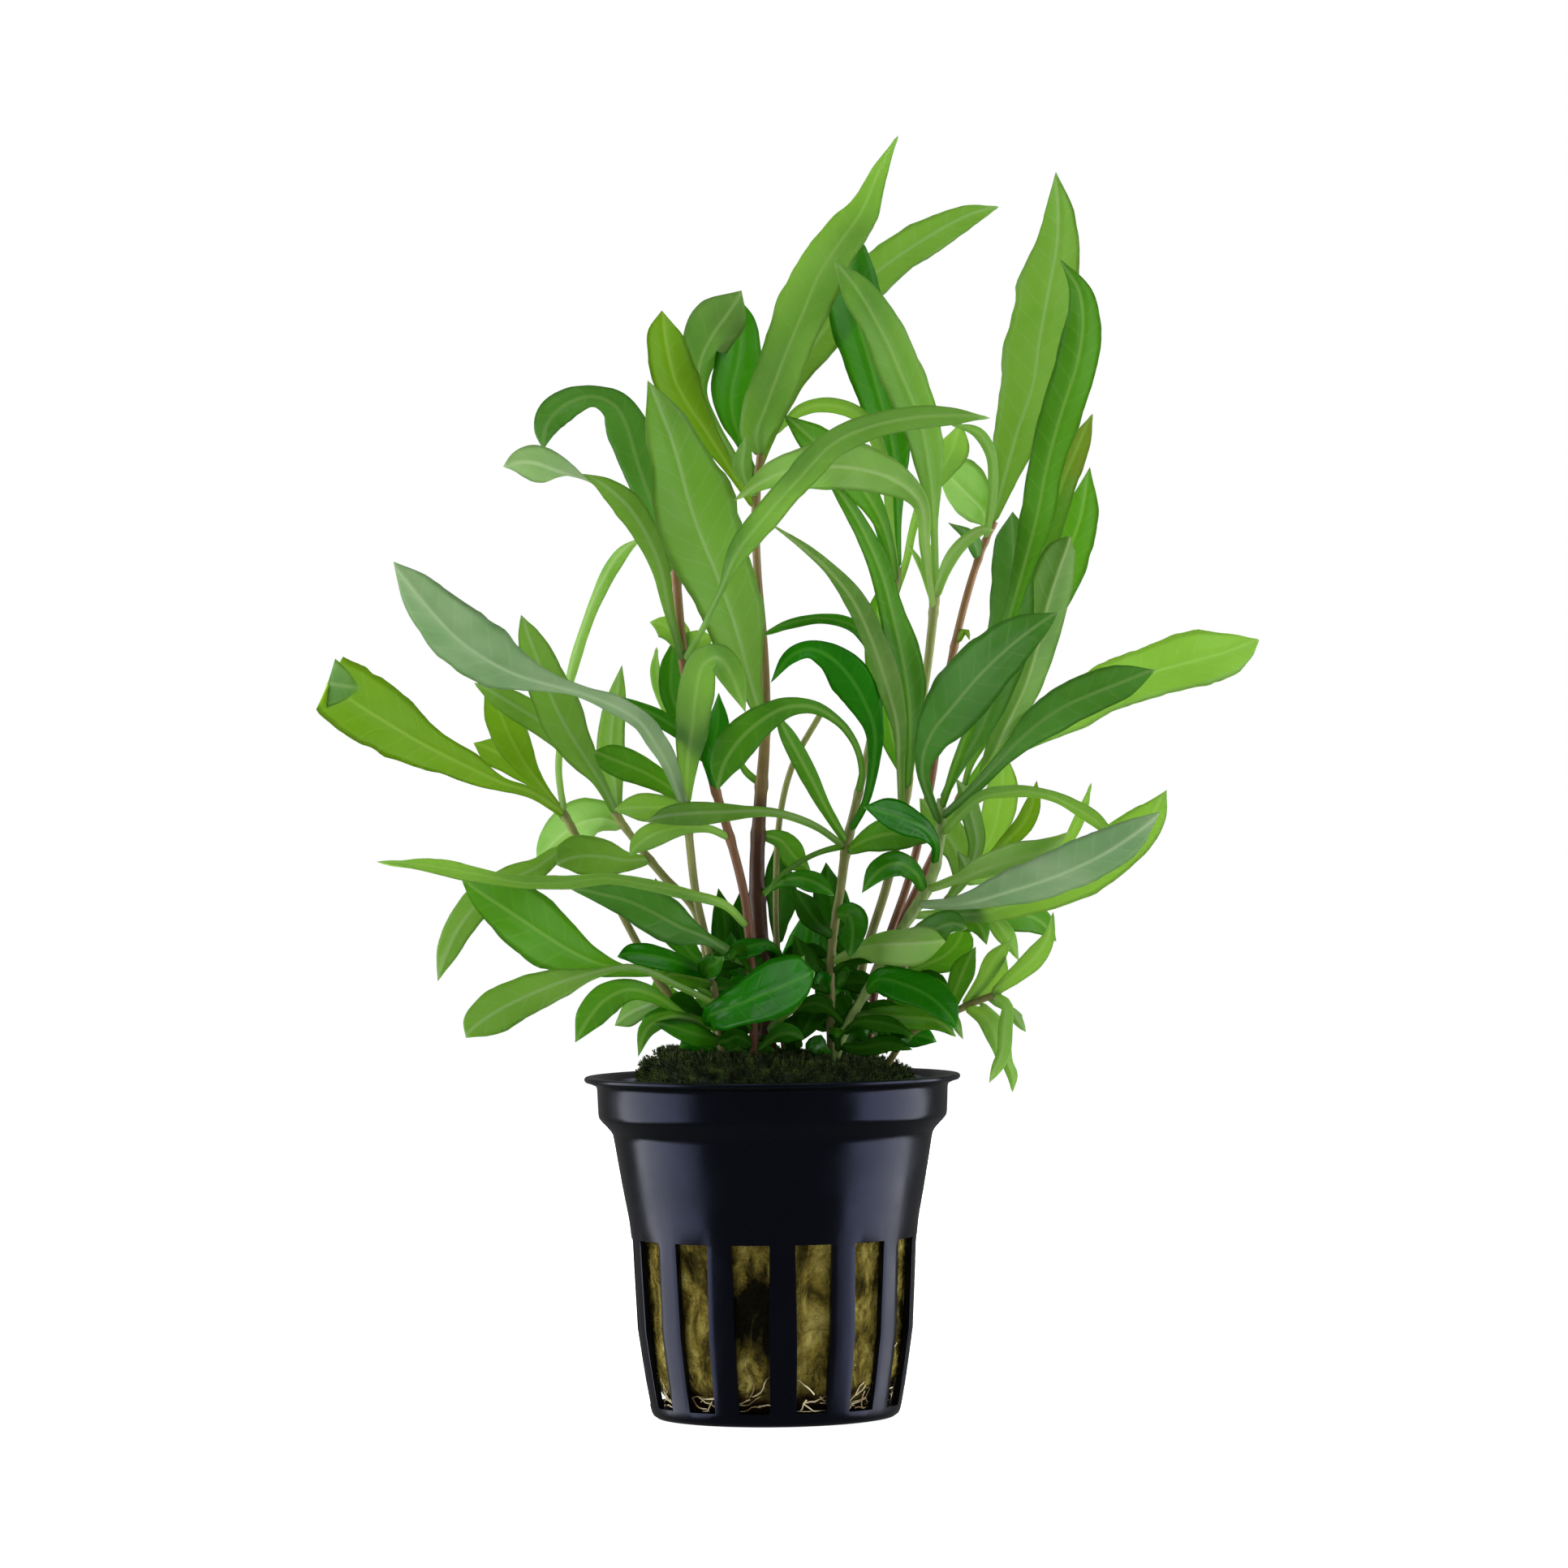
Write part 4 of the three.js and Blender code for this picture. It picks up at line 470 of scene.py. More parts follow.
# A cushion of dark moss covers the wool. It is hundreds of small leafy shoots that stand close together on a
# low mound, highest at the left.
MOSS_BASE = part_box("moss_cushion")[0].z / MM
MOSS_CROWN = 53.4
MOSS_RADIUS = 20.6
MOSS_SHIFT = 0.6
MOSS_DEPTH_SCALE = 0.88
MOSS_FALL = 0.07
MOSS_AROUND = 72
MOSS_BUMP, MOSS_BUMP_SIZE = 0.5, 2.7
SHOOT_WHORLS = 4
SHOOT_BREADTH = 0.14


def moss_mound():
    """The mound under the shoots, as rings that shrink towards its middle."""
    profile = [(19.6, 0.0), (19.4, 0.18), (18.9, 0.5), (17.9, 0.78), (16.0, 0.92), (12.0, 0.98), (7.0, 1.0),
        (2.5, 1.0)]
    shape = bmesh.new()
    rings = []
    for radius, lift in profile:
        ring = []
        for step in range(MOSS_AROUND):
            turn = step * math.tau / MOSS_AROUND
            across, back = radius * math.cos(turn), radius * math.sin(turn) * MOSS_DEPTH_SCALE
            fall = lift * MOSS_FALL * (across + MOSS_RADIUS)
            height = MOSS_BASE + lift * (MOSS_CROWN - MOSS_BASE) - fall
            bump = MOSS_BUMP * noise.noise(Vector((across, back, height)) / MOSS_BUMP_SIZE) * min(1, 2 * lift)
            ring.append(shape.verts.new(((across + MOSS_SHIFT) * MM, back * MM, (height + bump) * MM)))
        rings.append(ring)
    for low, high in zip(rings, rings[1:]):
        for step in range(MOSS_AROUND):
            after = (step + 1) % MOSS_AROUND
            shape.faces.new((low[step], low[after], high[after], high[step]))
    shape.faces.new(rings[-1])
    shape.faces.new(list(reversed(rings[0])))
    return shape


def moss_shoot():
    """One shoot about 2 mm tall: whorls of four narrow pointed leaves, one above the other."""
    shape = bmesh.new()
    for level in range(SHOOT_WHORLS):
        root = Vector((0, 0, (0.15 + 0.42 * level) * MM))
        for leaf in range(4):
            turn = leaf * math.tau / 4 + level * 0.8
            out_way = Vector((math.cos(turn), math.sin(turn), 0))
            side = Vector((-math.sin(turn), math.cos(turn), 0))
            reach, rise = (0.62 - 0.1 * level) * MM, (0.42 + 0.1 * level) * MM
            belly = root + out_way * reach * 0.5 + Vector((0, 0, rise * 0.35))
            tip = root + out_way * reach + Vector((0, 0, rise))
            corners = [root, belly - side * SHOOT_BREADTH * MM, tip, belly + side * SHOOT_BREADTH * MM]
            shape.faces.new([shape.verts.new(corner) for corner in corners])
    return shape


mound = new_piece("moss_mound", mesh_from(moss_mound(), "moss_mound"))
shoot = new_piece("moss_shoot", mesh_from(moss_shoot(), "moss_shoot"))

# Living moss: small dull leaves, dark green to olive brown
green_moss, tree, out = bare_material("dark cushion moss")
place = add_node(tree, "ShaderNodeTexCoord").outputs["Object"]
tint = ramp(tree, noise_of(tree, place, 2.2 * MM, 4.0), ((0.3, "141C06"), (0.45, "2A3A0E"), (0.58, "43561A"),
    (0.7, "5E6426")))
principled(tree, out, {"Base Color": tint, "Roughness": 0.75})

moss = grown(mound, scatter_tree, {"Bit": shoot, "Density": 2.5 / MM ** 2, "Least Size": 0.45, "Most Size": 1.0,
    "Upright": 0.8, "Seed": 3, "Finish": green_moss})
bpy.data.objects.remove(shoot)
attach(moss, "root")
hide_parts("moss_cushion")

# Each stem of the plant is a thin green or red-brown stalk of living tissue, rooted in the wool and ringed where
# leaves join it. It is a rod swept along its path. Its smallest leaves grow out of it and are one piece with it.
DEPTH_SPREAD = 1.5


def on_sight(row):
    """The place of a row that starts with across, up and back, in mm. Across and up are as the camera sees them on
    the upright plane through the pot's axis. Back is the depth behind that plane before the crown is spread."""
    across, up, back = row[0] * MM, row[1] * MM, row[2] * MM * DEPTH_SPREAD
    far = (EYE_DISTANCE + back) / EYE_DISTANCE
    return Vector((EYE_ACROSS + (across - EYE_ACROSS) * far, back, EYE_UP + (up - EYE_UP) * far))


# Stems, from the wool upward: across, up, back, thickness
STEMS = {
  "stem_main": [[-0.5, 45, -3, 2.7], [-0.8, 58, -3.2, 2.7], [-1.6, 70, -3.6, 2.6], [-1.9, 80, -4, 2.3],
    [-1.3, 90, -4.5, 1.9], [-0.6, 98, -4.8, 1.6], [-0.3, 106, -5, 1.3], [-0.6, 114, -5.2, 1.2],
    [-1.3, 123, -5.4, 1.2], [-1.5, 130, -5.5, 1.2], [-1.2, 137, -5.4, 1.1], [-0.6, 141, -5.3, 1]],
  "stem_centre": [[9, 45, -1.5, 1.3], [8.6, 60, -1.5, 1.3], [9, 69, -1.2, 1.3], [10.3, 77, -0.6, 1.3],
    [11.2, 83, 0, 1.4], [13.2, 91.5, 0.8, 1.2], [15, 99, 1.5, 1.2], [16.6, 107, 2.2, 1.2],
    [18.2, 116.5, 3, 1.1], [19.2, 124, 3.6, 1.1]],
  "stem_inner_right": [[11.5, 45, 3.5, 1.3], [13, 64, 3.5, 1.3], [17.2, 78, 3, 1.3], [19.6, 88, 2.5, 1.3],
    [21.2, 98, 2, 1.2], [23, 107, 1.8, 1.2], [24.1, 115, 1.5, 1.3], [24.7, 121, 1.2, 1.3]],
  "stem_outer_right": [[13.5, 45, 6.5, 1.2], [15.5, 64, 6.5, 1.2], [20.5, 79, 6, 1.2], [23.6, 92, 5.6, 1.2],
    [25.4, 103, 5.2, 1.1], [27.5, 113, 5, 1.1], [29.8, 121.5, 4.8, 1.1], [31.6, 126.6, 4.8, 1],
    [33.4, 130.6, 4.8, 1]],
  "stem_inner_left": [[-2.5, 45, -6.5, 1.3], [-2.8, 62, -6.6, 1.3], [-3.6, 75, -6.8, 1.3],
    [-5.6, 84, -7, 1.3], [-8.2, 93, -7, 1.3], [-10, 100, -7, 1.3], [-11.8, 107.5, -7, 1.4],
    [-12.6, 114, -7, 1.4], [-13.3, 124, -7, 1.3]],
  "stem_far_left": [[-9, 45, 2, 1.2], [-12, 57, 1.6, 1.2], [-17.2, 65, 1, 1.2], [-20.6, 71.5, 0.5, 1.1],
    [-24, 78, 0.2, 1.1], [-27.6, 84, 0, 1.1], [-30.2, 88.8, -0.2, 1.1]],
  "stem_mid_left": [[-6.5, 45, -1, 1.2], [-8.6, 60, -1, 1.2], [-11, 74, -1, 1.2], [-15.4, 79, -0.8, 1.2],
    [-19.4, 84, -0.4, 1.1], [-22.8, 88.8, 0, 1]],
  "stem_low_left": [[-6.5, 45, -5.5, 1.2], [-8, 60, -5.6, 1.2], [-9, 67.5, -5.8, 1.2],
    [-10.8, 76, -6.2, 1.2], [-11.6, 83, -6.6, 1.2], [-12.2, 90.5, -7, 1.2]],
  "stem_low_right": [[7.5, 45, -6, 1.2], [10.4, 55.5, -6, 1.2], [14.5, 63, -5.6, 1.3],
    [19.5, 71.5, -4.8, 1.5], [23.4, 77.8, -4, 1.5], [25, 84, -2.8, 1.3], [25.2, 90, -1.6, 1.2]],
  "stem_thin": [[2.6, 45, 0, 0.9], [1.2, 62, 0, 0.9], [0.8, 76, 0.4, 0.9], [1.6, 88, 1, 0.9],
    [3.6, 95.5, 1.6, 0.9], [7.6, 102.6, 2.4, 0.9]],
  "stem_back_right": [[10, 45, 8, 1.2], [14, 62, 8, 1.2], [21, 76, 8, 1.2], [26, 86, 7.6, 1.2],
    [28.6, 91.6, 7.4, 1.2]],
  "stem_side_right": [[13.6, 45, 1, 1.1], [16.5, 58, 1, 1.1], [21.6, 69.5, 1.2, 1.1],
    [26.4, 75.8, 1.2, 1.1], [30, 80, 1.2, 1]],
  "stem_edge_right": [[14.5, 45, -3.6, 1], [17, 51.4, -4, 1], [20.4, 55.8, -4.6, 1],
    [25.4, 58.2, -5.4, 0.9], [29.6, 60.2, -6, 0.9], [33.6, 61.6, -6.4, 0.8]],
}

# The smallest leaves of each stem: the height on the stem, the finish, then across, up, back and width, and where
# the blade is turned about its rib, the turn in degrees
SMALL_LEAVES = {
  "stem_centre": [
    [122.4, "bright", [[18.2, 130, 2.6, 1.2], [17.8, 136, 1.4, 1.4], [17, 140.6, 0.6, 1.8], [14, 146.2, -0.4, 2.2],
      [9, 147.9, -1, 2.2], [5, 147, -1.4, 1.8], [1.6, 143.6, -1.6, 0]]],
    [118, "dark", [[17.6, 126, 8, 1.4], [15.6, 132.4, 10, 1.6], [13.4, 135.4, 11, 1.6], [10.2, 139, 12, 0]]],
    [83.6, "mid", [[8.4, 88.4, -3, 1.8], [6.3, 92.6, -4.6, 2.5], [4.1, 96.8, -6, 2.7], [2.3, 100.2, -7, 2],
      [0.9, 103.4, -7.6, 0]]],
    [101, "dark", [[16.6, 108.6, -1, 2.4, 34], [15.2, 112, -2.6, 3.4, 60], [12.4, 115.2, -4.2, 3.6, 62],
      [8, 116.3, -5.8, 3.4, 62], [3.6, 115.8, -7.2, 2.8, 56], [-1, 114.2, -8.2, 0, 50]]],
    [83, "light", [[6, 86.6, -6.6, 1.1], [1, 88.2, -9.2, 1.2], [-3, 88.4, -10.4, 1.8], [-7, 88.3, -11.4, 3],
      [-11, 88.2, -12.4, 3.4], [-14.8, 87.9, -13.2, 2.6], [-18.2, 87.2, -13.8, 0]]],
    [82.4, "mid", [[15, 84.3, -3, 3.6], [18.5, 84.9, -4.6, 5], [21.4, 84.4, -5.6, 3.8], [23, 83.6, -6, 0]]],
    [73.6, "dark", [[11.8, 72.9, -5, 3.8], [12.2, 70.4, -8, 4.4], [11.7, 66.8, -10.4, 0]]],
    [66.4, "pale", [[12.6, 68.1, -4.6, 2], [15.6, 68.7, -7.6, 4.4], [19, 68.8, -10.2, 5.7],
      [22.6, 68.9, -12.4, 5.2], [25.6, 69.2, -14, 0]]],
    [61, "shade", [[7.6, 60.2, -3, 2.6], [6.4, 58.8, -4.4, 4.2], [5.2, 56.8, -5.6, 3.6], [4.2, 54.8, -6.4, 0]]],
    [83.4, "mid", [[7, 82.3, -2.6, 0.8], [3.4, 80.4, -5, 0.8], [0.8, 78.2, -7.2, 0.8], [-0.9, 76, -8.8, 0]]],
    [62, "shade", [[6.4, 64, -4, 2.8], [4.6, 66.8, -5.6, 4], [3.4, 70.4, -6.8, 0]]],
    [70, "shade", [[6.8, 72, -3.4, 2.4], [5, 74.4, -4.6, 3.6], [3.2, 77.4, -5.4, 0]]],
  ],
  "stem_inner_right": [
    [92.6, "mid", [[17.9, 99.6, 6, 4.4], [17.2, 106, 7, 5], [16.3, 112, 8, 4.8], [16, 117, 8.6, 3.4],
      [16.6, 121.4, 9, 0]]],
    [119.2, "pale", [[23.6, 126, 3.6, 2], [22.2, 131.2, 4.6, 0]]],
    [118.8, "pale", [[22.6, 124.4, 4.4, 1.1], [20.6, 127.6, 5.2, 0]]],
    [119, "pale", [[26.5, 124.5, -0.8, 1.8], [28.6, 127.4, -1.6, 1.8], [31.4, 129.3, -2, 1.5],
      [33.4, 129.3, -2.4, 0]]],
    [56, "shade", [[10.4, 58, 5, 3], [8.4, 61.4, 6.6, 4.4], [7.4, 65.6, 8, 0]]],
    [64, "shade", [[11.4, 67.4, 5.6, 3], [9.6, 71.6, 7.4, 5.4], [8.6, 76.6, 8.8, 4.6], [8.2, 81, 9.8, 0]]],
  ],
  "stem_outer_right": [
    [125, "cool", [[30, 128, 3.4, 2.2], [26.6, 130.5, 2.6, 0]]],
    [127.6, "bright", [[33.2, 135, 2.4, 1.5], [33, 140.4, 2, 1.7], [31, 143.6, 1.4, 1.6], [27, 144.9, 1, 0]]],
    [112.4, "yellow", [[29, 114.6, 4.4, 1.4], [29.6, 113.2, 4, 0]]],
    [56, "dark", [[18.6, 58.6, 6.6, 3.4], [22, 60.4, 7.4, 5], [25.4, 61.6, 8, 0]]],
  ],
  "stem_inner_left": [
    [91.6, "deep", [[-8.2, 96.6, -9, 2.8], [-7.2, 101.4, -9.6, 3.2], [-7.2, 106, -9.8, 0]]],
    [111.6, "bright", [[-13.8, 114.6, -4.6, 4.4], [-15.4, 115.9, -4.2, 3], [-17.2, 116.4, -4, 0]]],
    [111.2, "bright", [[-10.9, 112.7, -6, 4.2], [-9.6, 113.6, -5.4, 3.8], [-8, 114.2, -5, 0]]],
    [98.6, "dark", [[-12.8, 102, -4.6, 2.6], [-14.3, 106, -4, 3.4], [-14.3, 110, -3.8, 2.8],
      [-13.9, 113.6, -3.6, 0]]],
    [96.4, "pale", [[-13.2, 100.6, -2.8, 0.9], [-15.6, 105.4, -2, 1.4], [-16.4, 109.4, -1.6, 1.5],
      [-16.2, 112.8, -1.4, 0]]],
    [95.6, "dark", [[-12.4, 99.6, -9.6, 2], [-15.4, 101.9, -10.2, 2.6], [-18.4, 103.5, -10.4, 2],
      [-21.4, 104.7, -10.6, 1.4], [-24, 105.6, -10.8, 0]]],
    [84.6, "bright", [[-8.8, 86, -9.6, 1.2], [-12, 86.2, -11.6, 1.8], [-14.6, 85.9, -12.8, 2.8],
      [-17, 85.1, -13.6, 3.4], [-19, 83.8, -14.2, 2.6], [-20.6, 82.2, -14.8, 0]]],
    [66, "cool", [[-6.4, 68, -9, 1.8], [-9.6, 70, -10.4, 2], [-13.4, 71.6, -11.4, 5.4], [-17, 73.6, -12.2, 6],
      [-20.8, 75.4, -12.8, 5.2], [-24.8, 76.5, -13.4, 3], [-29.4, 77.6, -14, 0]]],
    [54, "shade", [[-5.2, 55.4, -9, 3], [-6.8, 54.8, -10, 2.8], [-8, 54.8, -10.4, 0]]],
  ],
  "stem_main": [
    [134.4, "bright", [[-2.7, 136.8, -7.4, 1.6], [-3.2, 139, -8, 2.8], [-2.9, 141.4, -8.4, 2],
      [-2.6, 143.8, -8.6, 0]]],
    [92.4, "mid", [[-3.6, 94.6, -3, 1], [-4.8, 98, -2, 0]]],
    [56, "light", [[1.4, 58.6, -7, 1.6], [3.2, 61.4, -9.4, 3], [3.6, 64.6, -11.4, 3.4], [4.9, 67.4, -12.6, 0]]],
    [85, "mid", [[1.6, 84, -1.6, 3], [3.6, 81.6, -0.4, 3.6], [6, 79.6, 0.4, 0]]],
    [76, "dark", [[1.6, 78, -6, 1.2], [4.4, 78.5, -8, 2.4], [7, 77.6, -9.4, 3], [9.4, 76, -10.4, 0]]],
    [62, "deep", [[-3.8, 64.6, -2, 3], [-5.4, 67.4, -1, 4], [-5.8, 71, 0, 0]]],
  ],
  "stem_far_left": [
    [87.8, "yellow", [[-33, 92, 1.4, 1.6], [-35.3, 95, 2.4, 3.2], [-37.6, 99, 3.4, 5], [-39.3, 103, 4.2, 4.8],
      [-40.2, 106, 4.8, 3], [-40.9, 108.8, 5.2, 0]]],
    [86.6, "yellow", [[-33.6, 92.4, 6, 1.8], [-37.2, 95.6, 7.4, 3.6], [-40.2, 97.6, 8.2, 4.6],
      [-43.2, 99, 8.8, 0]]],
    [88.4, "pale", [[-30.8, 95, 2.6, 1], [-30.4, 100, 3, 1], [-29.7, 104.8, 3, 1.2], [-28.3, 110.6, 2.6, 1.5],
      [-26.2, 117, 1.8, 1.6], [-23.5, 123, 0.8, 2.2], [-21, 126.7, 0, 1.8], [-18, 128.9, -0.8, 0]]],
    [56, "mid", [[-13.5, 58.6, 4, 3.4], [-15.6, 61.4, 5.6, 4.6], [-17, 64.6, 7, 0]]],
    [58, "dark", [[-9.6, 60.4, 5, 3], [-7.6, 63.6, 6.6, 4.6], [-6.4, 67.6, 8, 0]]],
    [62, "light", [[-17.6, 60.4, 3.4, 3], [-20.4, 59.2, 5, 4], [-23, 57.4, 6.4, 0]]],
  ],
  "stem_mid_left": [
    [87.6, "light", [[-22.4, 92.8, 3, 2.4], [-22.9, 97, 4, 4], [-22.7, 101.5, 4.4, 3.8], [-22, 105.5, 4.6, 2.8],
      [-21.3, 110.2, 4.8, 0]]],
    [87.4, "light", [[-25.2, 93, 1.2, 1.2], [-29.4, 98.2, 1.6, 2.6], [-33, 101.5, 1.4, 3.8], [-36.6, 103.9, 0.8, 4.2],
      [-40, 106, 0, 3.2], [-43, 107.8, -0.8, 0]]],
    [86.4, "pale", [[-24.6, 87.6, 4, 4.8], [-27.6, 87, 6, 7.6], [-30.4, 85.2, 7.6, 7], [-32.6, 82.8, 8.6, 4.4],
      [-34, 80.4, 9.2, 0]]],
    [81.6, "light", [[-21, 81.4, -2.8, 3], [-24.5, 82, -4.6, 5.8], [-27.6, 82.1, -6.2, 6.2], [-29.8, 81.6, -7.2, 4.6],
      [-31.2, 81, -7.8, 0]]],
    [57, "shade", [[-11.4, 58.6, -2, 3.6], [-13.6, 60, -3.4, 4.4], [-15.4, 60.2, -4.6, 0]]],
    [62, "shade", [[-7.4, 65, 0.8, 3], [-6.8, 69, 2, 4.4], [-7, 73.6, 3, 3], [-7.6, 77.4, 3.6, 0]]],
    [66, "dark", [[-12, 68, 1, 2.8], [-14.4, 71.4, 2, 4.4], [-16, 75.6, 2.6, 3], [-16.8, 79, 3, 0]]],
  ],
  "stem_low_left": [
    [89.8, "mid", [[-15.5, 92.6, -6.6, 3], [-18.6, 94.4, -6.8, 4.4], [-21.6, 95.7, -7, 4.8],
      [-24, 96.7, -7.2, 3.6], [-25.8, 97.5, -7.4, 0]]],
    [86, "bright", [[-13.6, 88.8, -9, 2.6], [-16.8, 89.1, -10.6, 4.4], [-19.8, 89.1, -12, 3.6],
      [-22.7, 89, -13.2, 0]]],
    [64.4, "deep", [[-12.4, 65.9, -9, 2.4], [-15, 66.8, -11.4, 3.2], [-18, 67.5, -13, 3.4],
      [-20.6, 67.7, -14.2, 2.7], [-22.5, 67.5, -15, 0]]],
    [57, "deep", [[-9, 58.5, -11, 2.6], [-7, 59.3, -13.6, 5], [-3.6, 60.6, -16.2, 6.6], [0, 62, -18.4, 7.6],
      [3.2, 63.4, -20, 7.2], [5, 64.2, -21, 5.4], [6.4, 65, -21.6, 0]]],
    [64, "dark", [[-9.2, 65.6, -9, 3], [-8, 66.2, -11, 2.8], [-6.9, 67.4, -12, 0]]],
    [54.6, "mid", [[-13.4, 59.2, -9.4, 1.2], [-17.4, 61.8, -11.4, 2.2], [-21, 62.6, -13.2, 3.2],
      [-24.2, 61.2, -14.6, 4.6], [-26.6, 58.6, -15.8, 4.2], [-28.8, 55, -16.8, 0]]],
    [56.6, "mid", [[-12, 58.2, -9, 1.6], [-15.4, 58.4, -11, 2.2], [-18.2, 56.8, -12.6, 2.4],
      [-19.6, 52.8, -13.8, 0]]],
    [55, "dark", [[-10.4, 55.6, -8.4, 3], [-13.4, 56.6, -10.6, 3.4], [-17.4, 57.8, -12.6, 0]]],
    [63.4, "mid", [[-11.4, 64.2, -8, 2.8], [-13.8, 64.6, -9.4, 3.6], [-16, 64.4, -10.6, 0]]],
  ],
  "stem_low_right": [
    [80.4, "deep", [[24.2, 83.4, -5.6, 1.4], [22.6, 85.6, -7.4, 3], [19.8, 87, -9.4, 4.6], [16.8, 88, -11.4, 3.8],
      [13.8, 89.1, -13.2, 0]]],
    [76.4, "dark", [[21.2, 79.2, -6.4, 2.4], [18.6, 80.6, -8.6, 3.8], [15.8, 79.4, -10.6, 3.2],
      [13.4, 76.4, -12, 0]]],
    [62, "deep", [[16, 63.6, -9.4, 3.4], [19.6, 62.7, -12.4, 5.2], [23, 61, -15, 5.2], [25.4, 58.8, -17, 3.8],
      [27.1, 56.2, -18.4, 0]]],
    [56, "shade", [[13, 57.4, -9, 1.6], [17, 57, -12, 2.4], [21, 55.4, -14.6, 0]]],
    [54, "shade", [[13, 53.6, -8, 2], [17, 54.2, -10.4, 2.6], [20.6, 53.4, -12.6, 0]]],
    [58.4, "mid", [[16.4, 58.2, -8.6, 3], [20.4, 57.9, -10.6, 3.4], [24, 57.4, -12.2, 3.2],
      [27, 55.2, -13.4, 0]]],
    [66, "cool", [[19.6, 67.2, -8, 2.6], [23, 70, -9.6, 4.4], [26.4, 71.6, -11, 4], [28.8, 71, -12, 0]]],
  ],
  "stem_side_right": [
    [79.4, "bright", [[31, 81.6, 2.4, 1.4], [32.8, 84.8, 3, 3.6], [33.8, 88.6, 3.6, 5], [34.4, 92.6, 4, 4.2],
      [34.4, 97.2, 4.4, 0]]],
    [79, "yellow", [[32.4, 81.4, 0, 1.4], [35, 83.8, -0.8, 2.2], [37.3, 86.2, -1.2, 2.8], [38.7, 89.2, -1.6, 2.4],
      [39.2, 92.6, -1.8, 0]]],
    [77.6, "bright", [[35.6, 78.6, 4.4, 1], [40.2, 79.9, 5.4, 1.2], [43.7, 83.6, 5.8, 1.6], [45.8, 87.8, 6, 1.5],
      [47.2, 92.2, 6.2, 0]]],
    [78.6, "light", [[30.2, 83.6, -2, 2.6], [29.5, 87.4, -3, 3], [28.7, 90.4, -3.6, 2.4], [27.4, 93, -4.2, 0]]],
    [77.2, "light", [[27.4, 81.8, 2.6, 4.2], [25.6, 85, 3, 5.6], [23.8, 87.8, 3.2, 4], [22, 90.2, 3.4, 0]]],
    [75.4, "light", [[27.9, 78, -2.4, 2], [28.6, 79.9, -4, 2.8], [27.4, 82.4, -5, 0]]],
    [64, "mid", [[22.6, 65.6, 2.6, 3.4], [25.6, 67, 3.4, 5], [27.8, 69.4, 4, 4], [28.4, 71.6, 4.4, 0]]],
    [60, "dark", [[20.6, 60.8, -0.8, 3], [23.6, 61.4, -2.4, 4.4], [26.6, 60.8, -4, 0]]],
    [70.5, "mid", [[24.4, 71.8, -0.6, 2.4], [27.6, 72.6, -1.6, 3.6], [30.4, 71.6, -2.4, 3.4],
      [31.6, 68.6, -3, 0]]],
    [72, "bright", [[31, 73.4, 2.4, 1.4], [34.2, 70, 1.4, 3], [36.3, 66.2, 0.6, 0]]],
  ],
  "stem_edge_right": [
    [61.2, "pale", [[34.3, 59.6, -8.4, 1.8], [34.1, 56.4, -9.6, 2.2], [33.8, 53, -10.4, 2],
      [32.8, 50.6, -11, 1.6], [31.7, 48.4, -11.4, 0]]],
    [59.6, "bright", [[31.4, 57.6, -8, 2.8], [32.6, 54.8, -8.6, 2.4], [32.9, 51.8, -9, 0]]],
    [60.8, "light", [[35.2, 58.8, -5.6, 1.2], [36, 57.4, -5.4, 1.8], [37.2, 55.8, -5.2, 0]]],
    [60.4, "bright", [[33.6, 56.6, -4.6, 1.4], [34.4, 51.4, -4.4, 1.6], [35.1, 49.4, -4.4, 1.6],
      [35.1, 47, -4.4, 0]]],
    [61, "bright", [[36.2, 64.4, -7.6, 2.6], [38.9, 66.8, -8.4, 3], [40.8, 69.8, -9, 1.8], [41.4, 73.4, -9.4, 0]]],
    [58.4, "mid", [[27, 61.6, -6.8, 2.6], [28.4, 65, -7.4, 3.4], [30, 68.4, -8, 0]]],
    [59.4, "bright", [[31, 63.2, -4.6, 2], [33, 66.6, -4, 2.6], [35.6, 69.6, -3.6, 0]]],
    [56.9, "light", [[24, 58.2, -8, 2.2], [26.4, 57.6, -10.4, 2], [28, 54.8, -12, 0]]],
    [59.8, "bright", [[31.8, 61.8, -5, 1.6], [33.6, 64, -4.6, 2.2], [34.4, 67, -4.2, 0]]],
  ],
  "stem_thin": [
    [66.6, "deep", [[0.9, 68.1, -3.8, 1], [-1, 69, -6.8, 1.8], [-4, 68.3, -8.6, 2.8], [-7.4, 66.8, -9.8, 0]]],
    [58, "deep", [[2.8, 61, 2, 3.4], [4.2, 65.4, 3.6, 6], [5.4, 70.4, 5, 4.8], [6, 75.4, 6, 0]]],
    [60, "shade", [[-0.6, 63.6, 2, 3], [-2.8, 67.6, 3.6, 5.8], [-3.8, 72.4, 5, 5], [-4.2, 77.4, 6, 0]]],
    [69, "shade", [[1, 72.4, 3.4, 3], [1.4, 76, 4.8, 5], [1.2, 79.8, 6, 3.6], [0.8, 83.4, 6.8, 0]]],
    [55, "deep", [[-0.6, 57.6, 4.4, 3.4], [-2.8, 60.4, 7.4, 5.4], [-5.6, 63.2, 9.8, 4.4], [-8.2, 65.6, 11.4, 0]]],
  ],
  "stem_back_right": [
    [58, "shade", [[11.6, 61, 10, 3.4], [9.6, 65, 11.6, 5], [8.6, 70, 13, 3.6], [8.4, 74, 14, 0]]],
    [62, "mid", [[18.6, 64.6, 12, 3.4], [22, 67.4, 13.6, 5], [25, 70.4, 14.8, 0]]],
